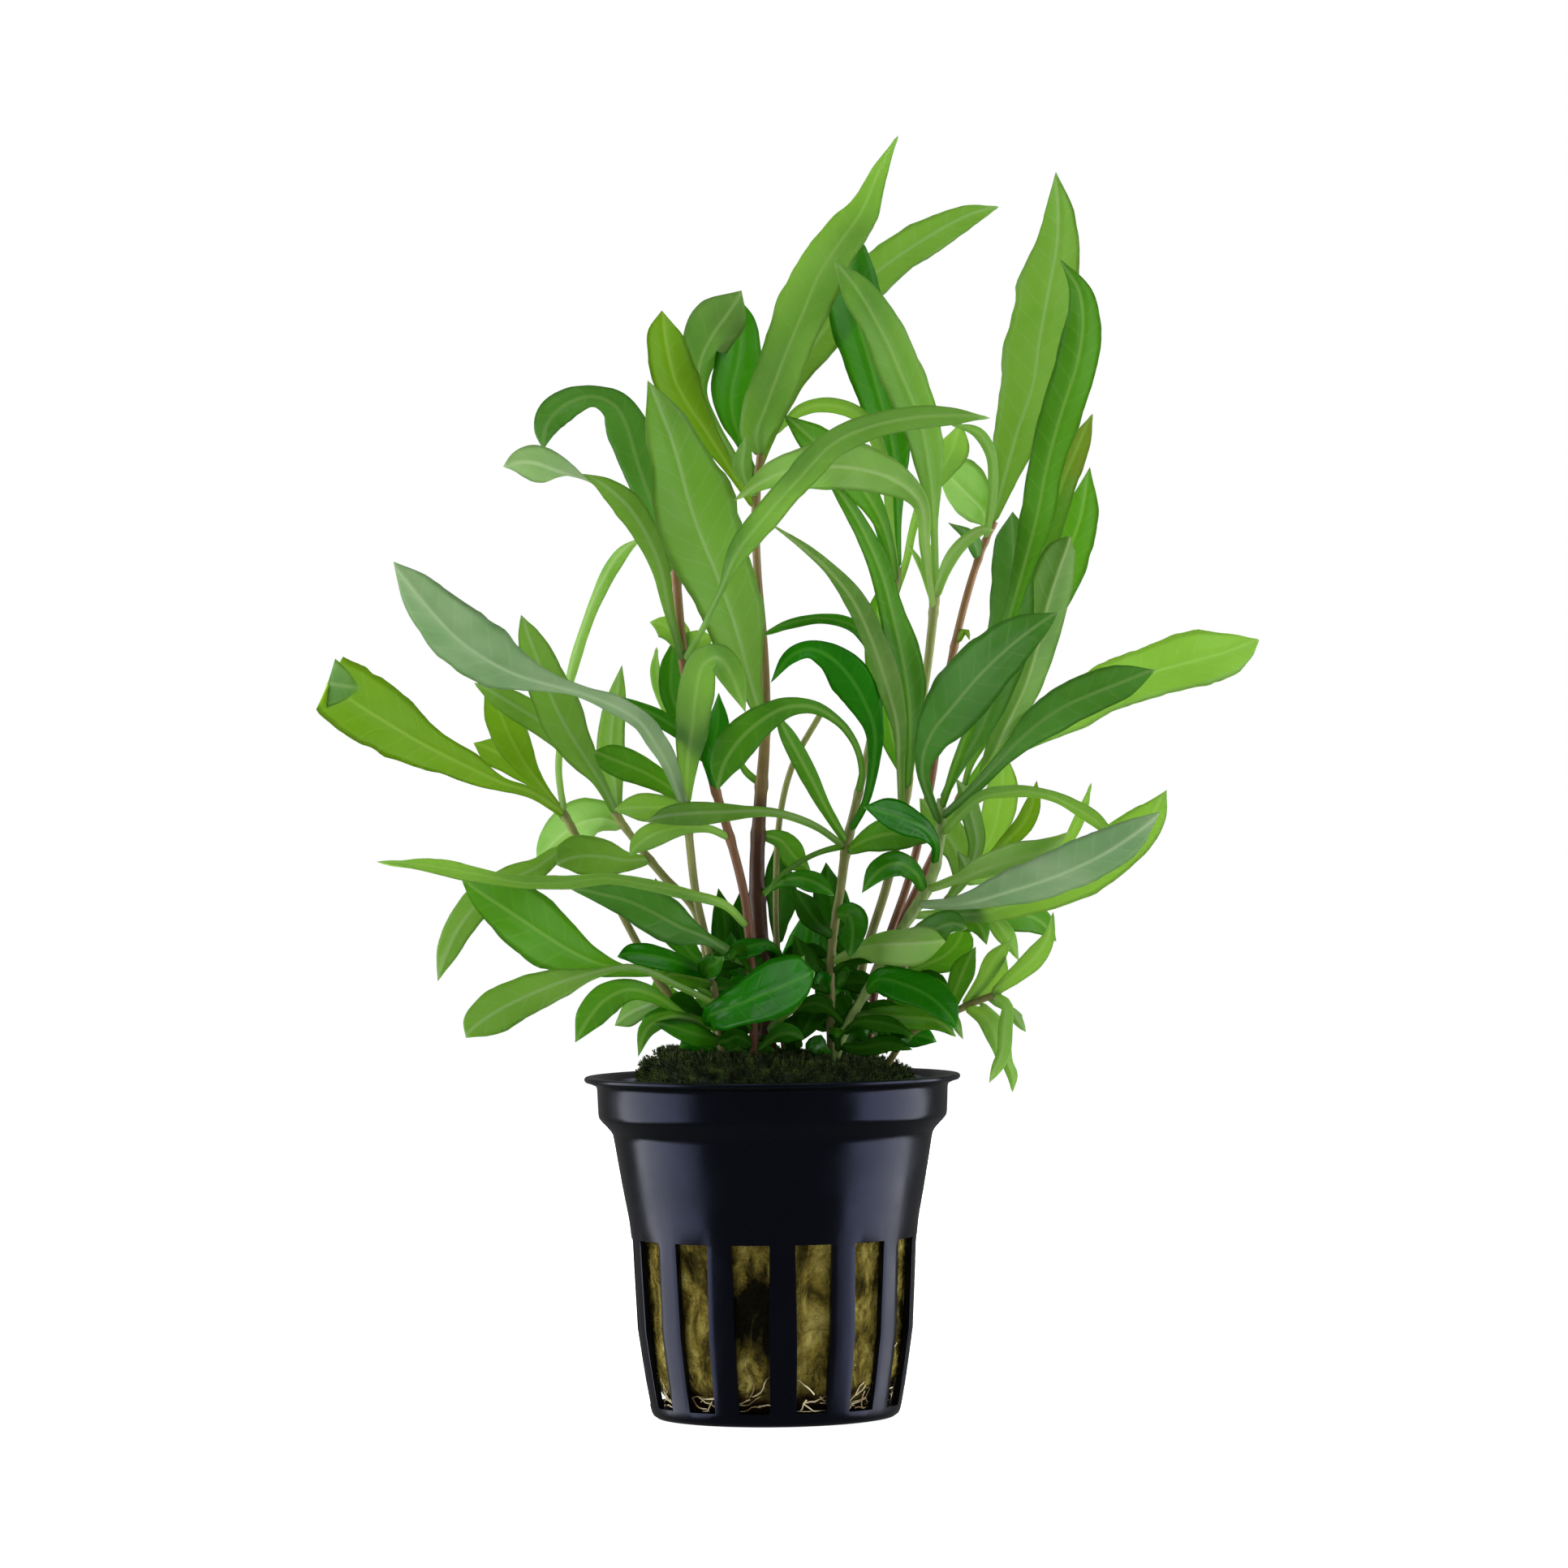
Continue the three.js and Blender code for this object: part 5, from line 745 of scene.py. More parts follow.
    [54, "dark", [[15.4, 56, 11.4, 3], [19.4, 58, 14.4, 5], [23.4, 60, 16.8, 4.2], [26.6, 61.6, 18.4, 0]]],
  ],
}


def smooth(values, share, even=False):
    """The value at a share of the way through a list, on a curve that passes through every one of them."""
    at = min(int(share * (len(values) - 1)), len(values) - 2)
    weight = share * (len(values) - 1) - at
    second, third = values[at], values[at + 1]
    first = values[at - 1] if at > 0 else 2 * second - third
    fourth = values[at + 2] if at + 2 < len(values) else 2 * third - second
    pairs = ((first, second), (second, third), (third, fourth))
    before, middle, after = [1 if even else (b - a).length ** 0.5 for a, b in pairs]
    leaving = (second - first) / before - (third - first) / (before + middle) + (third - second) / middle
    arriving = (third - second) / middle - (fourth - second) / (middle + after) + (fourth - third) / after
    leaving, arriving = leaving * middle, arriving * middle
    cubic = 2 * second - 2 * third + leaving + arriving
    return second + leaving * weight + (third - second - leaving - cubic) * weight ** 2 + cubic * weight ** 3


def stations(rows, step):
    """Places, directions, seen widths, turns and run lengths at steps along a table of rows."""
    places = [on_sight(row) for row in rows]
    sizes = [Vector((row[3], row[4] if len(row) > 4 else 0, 0)) for row in rows]
    length = sum((b - a).length for a, b in zip(places, places[1:]))
    count = max(4, round(length / step))
    found, run, last = [], 0, places[0]
    for number in range(count + 1):
        share = number / count
        place = smooth(places, share)
        ahead, behind = smooth(places, min(share + 1e-3, 1)), smooth(places, max(share - 1e-3, 0))
        size = smooth(sizes, share, even=True)
        run += (place - last).length
        last = place
        found.append((place, (ahead - behind).normalized(), size.x, size.y, run))
    return found


def path_mesh(name, places, values):
    """A line through the places that carries named values at each of them."""
    mesh = bpy.data.meshes.new(name)
    mesh.from_pydata(places, [(at, at + 1) for at in range(len(places) - 1)], [])
    for label, numbers in values.items():
        if isinstance(numbers[0], Vector):
            mesh.attributes.new(label, "FLOAT_VECTOR", "POINT").data.foreach_set(
                "vector", [part for vector in numbers for part in vector])
        else:
            mesh.attributes.new(label, "FLOAT", "POINT").data.foreach_set("value", numbers)
    return mesh


def join_point(stem, height):
    """The place on a stem at a height."""
    rows = STEMS[stem]
    after = next(at for at in range(1, len(rows)) if rows[at][1] >= height)
    low, high = rows[after - 1], rows[after]
    share = (height - low[1]) / (high[1] - low[1])
    return [low[axis] + (high[axis] - low[axis]) * share for axis in range(3)]


# Every leaf is a thin soft blade that grows from its stem on a short stalk, raised along its midrib, folded a
# little into a gutter and waved at its edges. The tree lays a front and a back skin over a rib line that carries
# the blade's width and directions.
blade_tree, given, result = new_tree("leaf blade", [("Stations", "Int"), ("Columns", "Int"), ("Sheet", "Float"),
    ("Rib Height", "Float"), ("Rib Width", "Float"), ("Fold", "Float"), ("Wave", "Float"), ("Wave Pitch", "Float"),
    ("Ragged", "Float"), ("Ragged Pitch", "Float"), ("Seed", "Float"),
    ("Front Finish", "Material"), ("Back Finish", "Material")])


def blade_sum(operation, *numbers):
    """The output of one sum in the leaf's tree."""
    return reckon(blade_tree, operation, *numbers)


def vector_sum(operation, first, second):
    """The output of one sum on vectors in the leaf's tree, or of a vector scaled by a number."""
    sockets = {0: first, "Scale": second} if operation == "SCALE" else {0: first, 1: second}
    return add_node(blade_tree, "ShaderNodeVectorMath", sockets, operation=operation).outputs["Vector"]


last_station = blade_sum("SUBTRACT", given["Stations"], 1)
sheet = add_node(blade_tree, "GeometryNodeMeshGrid", {"Size X": 2, "Size Y": last_station,
    "Vertices X": given["Columns"], "Vertices Y": given["Stations"]}).outputs["Mesh"]
spot = add_node(blade_tree, "ShaderNodeSeparateXYZ", {
    "Vector": add_node(blade_tree, "GeometryNodeInputPosition").outputs["Position"]}).outputs
crowded = blade_sum("POWER", blade_sum("ABSOLUTE", spot["X"]), 1.5)
side = blade_sum("MULTIPLY", blade_sum("SIGN", spot["X"]), crowded)
index = blade_sum("ROUND", blade_sum("MULTIPLY_ADD", last_station, 0.5, spot["Y"]))


def along_rib(label, kind):
    """The value that the rib line carries at this row of the sheet."""
    if label == "place":
        value = add_node(blade_tree, "GeometryNodeInputPosition").outputs["Position"]
    else:
        value = add_node(blade_tree, "GeometryNodeInputNamedAttribute", {"Name": label},
            data_type=kind).outputs["Attribute"]
    return add_node(blade_tree, "GeometryNodeSampleIndex", {"Geometry": given["Geometry"], "Value": value,
        "Index": index}, data_type=kind).outputs["Value"]


# The margin is ragged, the midrib stands out from the sheet, and both thin away to the edge and the ends
half, run = along_rib("half", "FLOAT"), along_rib("run", "FLOAT")
margin = add_node(blade_tree, "ShaderNodeCombineXYZ", {"X": blade_sum("DIVIDE", run, given["Ragged Pitch"]),
    "Y": blade_sum("MULTIPLY_ADD", blade_sum("SIGN", side), 9.0, given["Seed"])})
unevenness = noise_of(blade_tree, margin.outputs["Vector"], 1.0, 2.0)
swelling = blade_sum("MULTIPLY", blade_sum("SUBTRACT", unevenness, 0.5), given["Ragged"])
swelling = blade_sum("MULTIPLY", swelling, blade_sum("POWER", crowded, 3))
half = blade_sum("MULTIPLY", half, blade_sum("ADD", swelling, 1))
aside = blade_sum("MULTIPLY", crowded, half)
rib_reach = blade_sum("MAXIMUM", blade_sum("MINIMUM", given["Rib Width"], half), 1e-6)
rib_share = blade_sum("MINIMUM", blade_sum("DIVIDE", aside, rib_reach), 1)
rib_lift = blade_sum("SUBTRACT", 1, blade_sum("POWER", rib_share, 2))
edge_fall = blade_sum("SUBTRACT", 1, blade_sum("POWER", crowded, 8))
body = blade_sum("MULTIPLY_ADD", rib_lift, given["Rib Height"], blade_sum("MULTIPLY", edge_fall, given["Sheet"]))
ending = blade_sum("MINIMUM", blade_sum("DIVIDE", half, 0.4 * MM), 1)
half_thick = blade_sum("MULTIPLY", blade_sum("MULTIPLY", body, ending), 0.5)
folded = blade_sum("MULTIPLY", aside, given["Fold"])
phase = blade_sum("MULTIPLY_ADD", run, blade_sum("DIVIDE", math.tau, given["Wave Pitch"]), side)
swing = blade_sum("MULTIPLY", blade_sum("SINE", phase), blade_sum("POWER", crowded, 2))
waved = blade_sum("MULTIPLY", swing, blade_sum("MULTIPLY", half, given["Wave"]))

# Each row of the sheet goes to its place on the rib, as a front skin and a turned-over back skin that close up
blade_map = add_node(blade_tree, "ShaderNodeCombineXYZ", {"X": blade_sum("MULTIPLY", side, half), "Y": run})
mapped = add_node(blade_tree, "GeometryNodeStoreNamedAttribute", {"Geometry": sheet, "Name": "blade",
    "Value": blade_map.outputs["Vector"]}, data_type="FLOAT2", domain="CORNER").outputs["Geometry"]
turned_over = add_node(blade_tree, "GeometryNodeFlipFaces", {"Mesh": mapped}).outputs["Mesh"]
skins = add_node(blade_tree, "GeometryNodeJoinGeometry")
for skin_sheet, sign in ((mapped, 1.0), (turned_over, -1.0)):
    marked = add_node(blade_tree, "GeometryNodeStoreNamedAttribute", {"Geometry": skin_sheet, "Name": "skin",
        "Value": sign}, data_type="FLOAT", domain="FACE")
    blade_tree.links.new(marked.outputs["Geometry"], skins.inputs["Geometry"])
skin = add_node(blade_tree, "GeometryNodeInputNamedAttribute", {"Name": "skin"},
    data_type="FLOAT").outputs["Attribute"]
lift = blade_sum("ADD", blade_sum("MULTIPLY", skin, half_thick), blade_sum("ADD", folded, waved))
sideways = vector_sum("SCALE", along_rib("across", "FLOAT_VECTOR"), blade_sum("MULTIPLY", side, half))
outward = vector_sum("SCALE", along_rib("facing", "FLOAT_VECTOR"), lift)
spread = vector_sum("ADD", along_rib("place", "FLOAT_VECTOR"), vector_sum("ADD", sideways, outward))
laid = add_node(blade_tree, "GeometryNodeSetPosition", {"Geometry": skins.outputs["Geometry"], "Position": spread})
closed = add_node(blade_tree, "GeometryNodeMergeByDistance", {"Geometry": laid.outputs["Geometry"],
    "Distance": 0.004 * MM})
rounded = add_node(blade_tree, "GeometryNodeSetShadeSmooth", {"Geometry": closed.outputs["Geometry"]})
real = add_node(blade_tree, "GeometryNodeRealizeInstances", {"Geometry": rounded.outputs["Geometry"]})
fronted = add_node(blade_tree, "GeometryNodeSetMaterial", {"Geometry": real.outputs["Geometry"],
    "Material": given["Front Finish"]})
is_back = add_node(blade_tree, "FunctionNodeCompare", {"A": skin, "B": 0.0}, data_type="FLOAT", operation="LESS_THAN")
finished_blade = add_node(blade_tree, "GeometryNodeSetMaterial", {"Geometry": fronted.outputs["Geometry"],
    "Selection": is_back.outputs["Result"], "Material": given["Back Finish"]})
blade_tree.links.new(finished_blade.outputs["Geometry"], result["Geometry"])

# Living leaf: a waxed, faintly shiny skin over soft tissue that glows yellow-green where light comes through, with a
# paler midrib and slanted side veins, and lighter patches of painted sheen on its face. The blade map runs across and
# along the leaf in metres.
VEIN_PITCH = 3.4 * MM
VEIN_SLANT = 0.9
VEIN_WANDER = 1.6 * MM
TORN_FROM, TORN_TO = 52 * MM, 57 * MM


def see_through(tree, out, clear, face, tissue):
    """The surface of living tissue: its face, mixed with the tissue that lets light through."""
    both = add_node(tree, "ShaderNodeMixShader", {0: clear, 1: face.outputs["BSDF"], 2: tissue.outputs["BSDF"]})
    tree.links.new(both.outputs["Shader"], out.inputs["Surface"])


def leaf_finish(name, shade, painted_sheen_shade, vein, glow, roughness, clear, gloss, torn=False):
    """A leaf's look: its face's colour with patches of a lighter painted sheen, its veins, the light that comes
    through, and the share of that light.
    """
    material, tree, out = bare_material(name)
    blade = add_node(tree, "ShaderNodeUVMap", uv_map="blade").outputs["UV"]
    parts = add_node(tree, "ShaderNodeSeparateXYZ", {"Vector": blade}).outputs
    away = reckon(tree, "ABSOLUTE", parts["X"])
    rib = ranged(tree, away, 0.12 * MM, 0.42 * MM, 0.65, 0.0, interpolation_type="SMOOTHSTEP")
    bent = reckon(tree, "MULTIPLY_ADD", away, -VEIN_SLANT, parts["Y"])
    wander = noise_of(tree, blade, 5 * MM, 1.0)
    bent = reckon(tree, "MULTIPLY_ADD", wander, VEIN_WANDER, bent)
    cell = reckon(tree, "PINGPONG", bent, VEIN_PITCH / 2)
    vein_line = ranged(tree, cell, 0.08 * MM, 0.42 * MM, 0.13, 0.0, interpolation_type="SMOOTHSTEP")
    lines = reckon(tree, "MAXIMUM", rib, vein_line)
    place = add_node(tree, "ShaderNodeTexCoord").outputs["Object"]
    # Lighter patches on the face are painted sheen
    painted_sheen_patch = ranged(tree, noise_of(tree, place, 11 * MM, 3.0, Roughness=0.55), 0.36, 0.64)
    base = blended(tree, painted_sheen_patch, linear(shade), linear(painted_sheen_shade))
    if torn:
        brown = ranged(tree, reckon(tree, "MULTIPLY_ADD", wander, 5 * MM, parts["Y"]), TORN_FROM, TORN_TO)
        base = blended(tree, brown, base, linear("7A5230"))
    veined = blended(tree, lines, base, linear(vein))
    dimmed = blended(tree, reckon(tree, "MULTIPLY", lines, 0.5), linear(glow), linear(vein))
    relief = bumped(tree, vein_line, 0.5, 0.24 * MM, invert=True)
    face = add_node(tree, "ShaderNodeBsdfPrincipled", {"Base Color": veined, "Roughness": roughness, "IOR": 1.42,
        "Specular IOR Level": gloss, "Normal": relief})
    tissue = add_node(tree, "ShaderNodeBsdfTranslucent", {"Color": dimmed, "Normal": relief})
    see_through(tree, out, clear, face, tissue)
    return material


LEAF_FINISHES = {
    "bright": leaf_finish("young leaf, bright green", "4D8442", "699359", "9EBC7C", "9BBE71", 0.34, 0.7, 0.34),
    "light": leaf_finish("broad leaf, light green", "4C832F", "68914A", "A0B888", "98BB52", 0.36, 0.68, 0.34),
    "mid": leaf_finish("leaf, mid green", "255917", "376B2A", "84A45E", "639935", 0.34, 0.68, 0.34),
    "cool": leaf_finish("older leaf, cool green", "2D6623", "437E36", "82A062", "6F9E48", 0.32, 0.6, 0.34),
    "dark": leaf_finish("old leaf, dark green", "1C5F08", "2C770E", "66983E", "549D18", 0.32, 0.56, 0.24),
    "deep": leaf_finish("glossy leaf, deep green", "0A5A02", "157002", "468A28", "3E8E11", 0.24, 0.46, 0.24),
    # The shade finish is painted shade: the dark green of leaves deep inside the plant, where little light reaches
    "shade": leaf_finish("inner leaf, green with painted shade", "174502", "235803", "3A6A1C", "446A06", 0.45, 0.4, 0.06),
    "yellow": leaf_finish("young leaf, yellow green", "517812", "688C1E", "A0B454", "8EA830", 0.34, 0.7, 0.34),
    "pale": leaf_finish("leaf underside, pale green", "80AB52", "A3CA75", "BCD294", "C5DB66", 0.48, 0.6, 0.34),
    "grey": leaf_finish("leaf underside, grey green", "769670", "9AAE8E", "B2C4A2", "A8C082", 0.48, 0.52, 0.34),
    "dull": leaf_finish("leaf underside, dull green", "5B7C3B", "76984E", "A4B87A", "95B650", 0.44, 0.54, 0.34),
    "torn": leaf_finish("leaf with a torn brown tip", "2F6221", "437535", "84A458", "6B973E", 0.38, 0.62, 0.34,
        torn=True),
}
# The finish of each leaf's other side, and the finishes of the leaves that are seen from below
BACKS = {"bright": "pale", "light": "grey", "mid": "pale", "cool": "grey", "dark": "grey", "deep": "grey",
    "shade": "dark", "yellow": "bright", "pale": "mid", "grey": "mid", "dull": "mid", "torn": "pale"}
SEEN_FROM_BELOW = ("pale", "grey", "dull")

# Roll in degrees, how straight a leaf is when it isn't rolled at all and when it is rolled fully, widths in mm at
# the stem and at the thinnest, the shape of a pointed tip, the depth of the gutter, and the steps along a leaf
LEAF_ROLL = 30
ARCHED, STRAIGHT = 0.7, 0.96
JOIN_WIDTH, LEAST_WIDTH = 1, 0.5
TIP_STEPS, TIP_BLUNTNESS = 4, 0.6
FOLD = 0.16
STEP = 0.9 * MM


def leaf_roll(rows):
    """The turn of a leaf about its rib. A straight leaf is rolled fully and an arched one hardly at all. A leaf whose
    rows carry turns of their own isn't rolled."""
    if any(len(row) > 4 for row in rows):
        return 0
    reach = math.dist(rows[0][:2], rows[-1][:2])
    straightness = reach / sum(math.dist(low[:2], high[:2]) for low, high in zip(rows, rows[1:]))
    share = min(max((straightness - ARCHED) / (STRAIGHT - ARCHED), 0), 1)
    return -math.copysign(LEAF_ROLL, rows[-1][0] - rows[0][0]) * share * share * (3 - 2 * share)


def blade(name, rows, finish, stem=None, height=None, large=False, rolled=True):
    """One leaf along its rows, from the stem that it grows on."""
    own_rows = rows
    if stem:
        rows = [join_point(stem, height) + [JOIN_WIDTH]] + rows
    below = finish in SEEN_FROM_BELOW
    roll = leaf_roll(own_rows) * (-1 if below and large else 1) if rolled else 0
    places, directions, faces, halves, runs = [], [], [], [], []
    eye = Vector((EYE_ACROSS, -EYE_DISTANCE, EYE_UP))
    for place, along, width, turn, run_length in stations(rows, STEP):
        across = (place - eye).cross(along).normalized()
        across = Matrix.Rotation(math.radians(turn + roll), 3, along) @ across
        places.append(place)
        directions.append(across)
        faces.append(across.cross(along).normalized())
        halves.append(max(width, LEAST_WIDTH) * MM / 2 / math.cos(math.radians(roll)))
        runs.append(run_length)
    halves[0] = 0
    if rows[-1][3] == 0:
        tip = min(TIP_STEPS, len(halves) - 2)
        for step in range(tip + 1):
            halves[-1 - step] = min(halves[-1 - step], halves[-1 - tip] * (step / tip) ** TIP_BLUNTNESS)
    line = new_piece(name, path_mesh(name, places,
        {"across": directions, "facing": faces, "half": halves, "run": runs}))
    return grown(line, blade_tree, {"Stations": len(places), "Columns": 13, "Sheet": 0.22 * MM,
        "Rib Height": 0.55 * MM, "Rib Width": 0.75 * MM, "Fold": -FOLD if below else FOLD, "Wave": 0.09,
        "Wave Pitch": 17 * MM, "Ragged": 0.3, "Ragged Pitch": 4.5 * MM,
        "Seed": float(len(places) + 7 * rows[0][0]),
        "Front Finish": LEAF_FINISHES[finish], "Back Finish": LEAF_FINISHES[BACKS[finish]]})


# A stem is a rod with a slight swelling at each ring, where leaves join
RING_SWELL = 0.2
RING_LENGTH = 0.7 * MM
BLOTCH = 8
stalk_tree, given, result = new_tree("stalk", [("Sides", "Int"), ("Finish", "Material")])
line = add_node(stalk_tree, "GeometryNodeMeshToCurve", {"Mesh": given["Geometry"]})
thick = add_node(stalk_tree, "GeometryNodeInputNamedAttribute", {"Name": "thick"}, data_type="FLOAT")
ring = add_node(stalk_tree, "GeometryNodeCurvePrimitiveCircle", {"Resolution": given["Sides"], "Radius": 1.0},
    mode="RADIUS")
rod = add_node(stalk_tree, "GeometryNodeCurveToMesh", {"Curve": line.outputs["Curve"],
    "Profile Curve": ring.outputs["Curve"], "Scale": thick.outputs["Attribute"], "Fill Caps": True})
rounded = add_node(stalk_tree, "GeometryNodeSetShadeSmooth", {"Geometry": rod.outputs["Mesh"]})
end_tree(stalk_tree, rounded.outputs["Geometry"], given["Finish"], result)


# Living stem: smooth and waxed, streaked lengthwise, green where young and red-brown where old
def stem_finish(name, low_shade, high_shade, low_height, high_height, clear):
    """A stem's look: one shade below and one above, with uneven blotches between the two heights in mm."""
    material, tree, out = bare_material(name)
    place = add_node(tree, "ShaderNodeTexCoord").outputs["Object"]
    up = add_node(tree, "ShaderNodeSeparateXYZ", {"Vector": place}).outputs["Z"]
    lengthwise = add_node(tree, "ShaderNodeMapping", {"Vector": place, "Scale": (1, 1, 0.12)}).outputs["Vector"]
    streak = noise_of(tree, lengthwise, 0.9 * MM, 3.0)
    uneven = reckon(tree, "MULTIPLY_ADD", noise_of(tree, place, 6 * MM, 2.0), 2 * BLOTCH * MM, up)
    rise = ranged(tree, uneven, (low_height + BLOTCH) * MM, (high_height + BLOTCH) * MM)
    shade = blended(tree, rise, linear(low_shade), linear(high_shade))
    dark = ranged(tree, streak, 0.3, 0.7, 0.72, 1.12)
    streaked = add_node(tree, "ShaderNodeVectorMath", {0: shade, "Scale": dark}, operation="SCALE").outputs["Vector"]
    face = add_node(tree, "ShaderNodeBsdfPrincipled", {"Base Color": streaked, "Roughness": 0.38, "IOR": 1.42,
        "Normal": bumped(tree, streak, 0.4, 0.12 * MM)})
    tissue = add_node(tree, "ShaderNodeBsdfTranslucent", {"Color": streaked})
    see_through(tree, out, clear, face, tissue)
    return material


STEM_FINISHES = {
    "main": stem_finish("old stem, red brown", "40220F", "7E6A3C", 84, 98, 0.1),
    "green": stem_finish("young stem, olive green", "7E7C46", "98A05E", 60, 112, 0.3),
    "russet": stem_finish("stem, russet", "6A4030", "8E6A44", 60, 118, 0.2),
    "pale": stem_finish("young stem, pale green", "86A058", "A0B870", 60, 112, 0.3),
}
STEM_LOOKS = {"stem_main": "main", "stem_inner_left": "russet", "stem_outer_right": "russet",
    "stem_back_right": "russet", "stem_low_right": "pale"}


def joined(pieces):
    """The pieces as one mesh, each part with its own finishes."""
    if len(pieces) > 1:
        with bpy.context.temp_override(active_object=pieces[0], object=pieces[0], selected_editable_objects=pieces):
            bpy.ops.object.join()
    return pieces[0]


ring_heights = {name: [entry[0] for entry in SMALL_LEAVES.get(name, [])] for name in STEMS}


def stalk(name):
    """The bare stem along its rows, with a ring at each leaf's height."""
    found = stations(STEMS[name], STEP)
    rings = [on_sight(join_point(name, height)) for height in ring_heights[name]]
    thick = []
    for place, _, width, _, _ in found:
        near = min([(place - ring_place).length for ring_place in rings], default=1)
        swell = RING_SWELL * math.exp(-(near / RING_LENGTH) ** 2)
        thick.append(width * MM / 2 * (1 + swell))
    line = new_piece(name.replace("stem", "shoot"), path_mesh(name, [entry[0] for entry in found], {"thick": thick}))
    return grown(line, stalk_tree, {"Sides": 12, "Finish": STEM_FINISHES[STEM_LOOKS.get(name, "green")]})


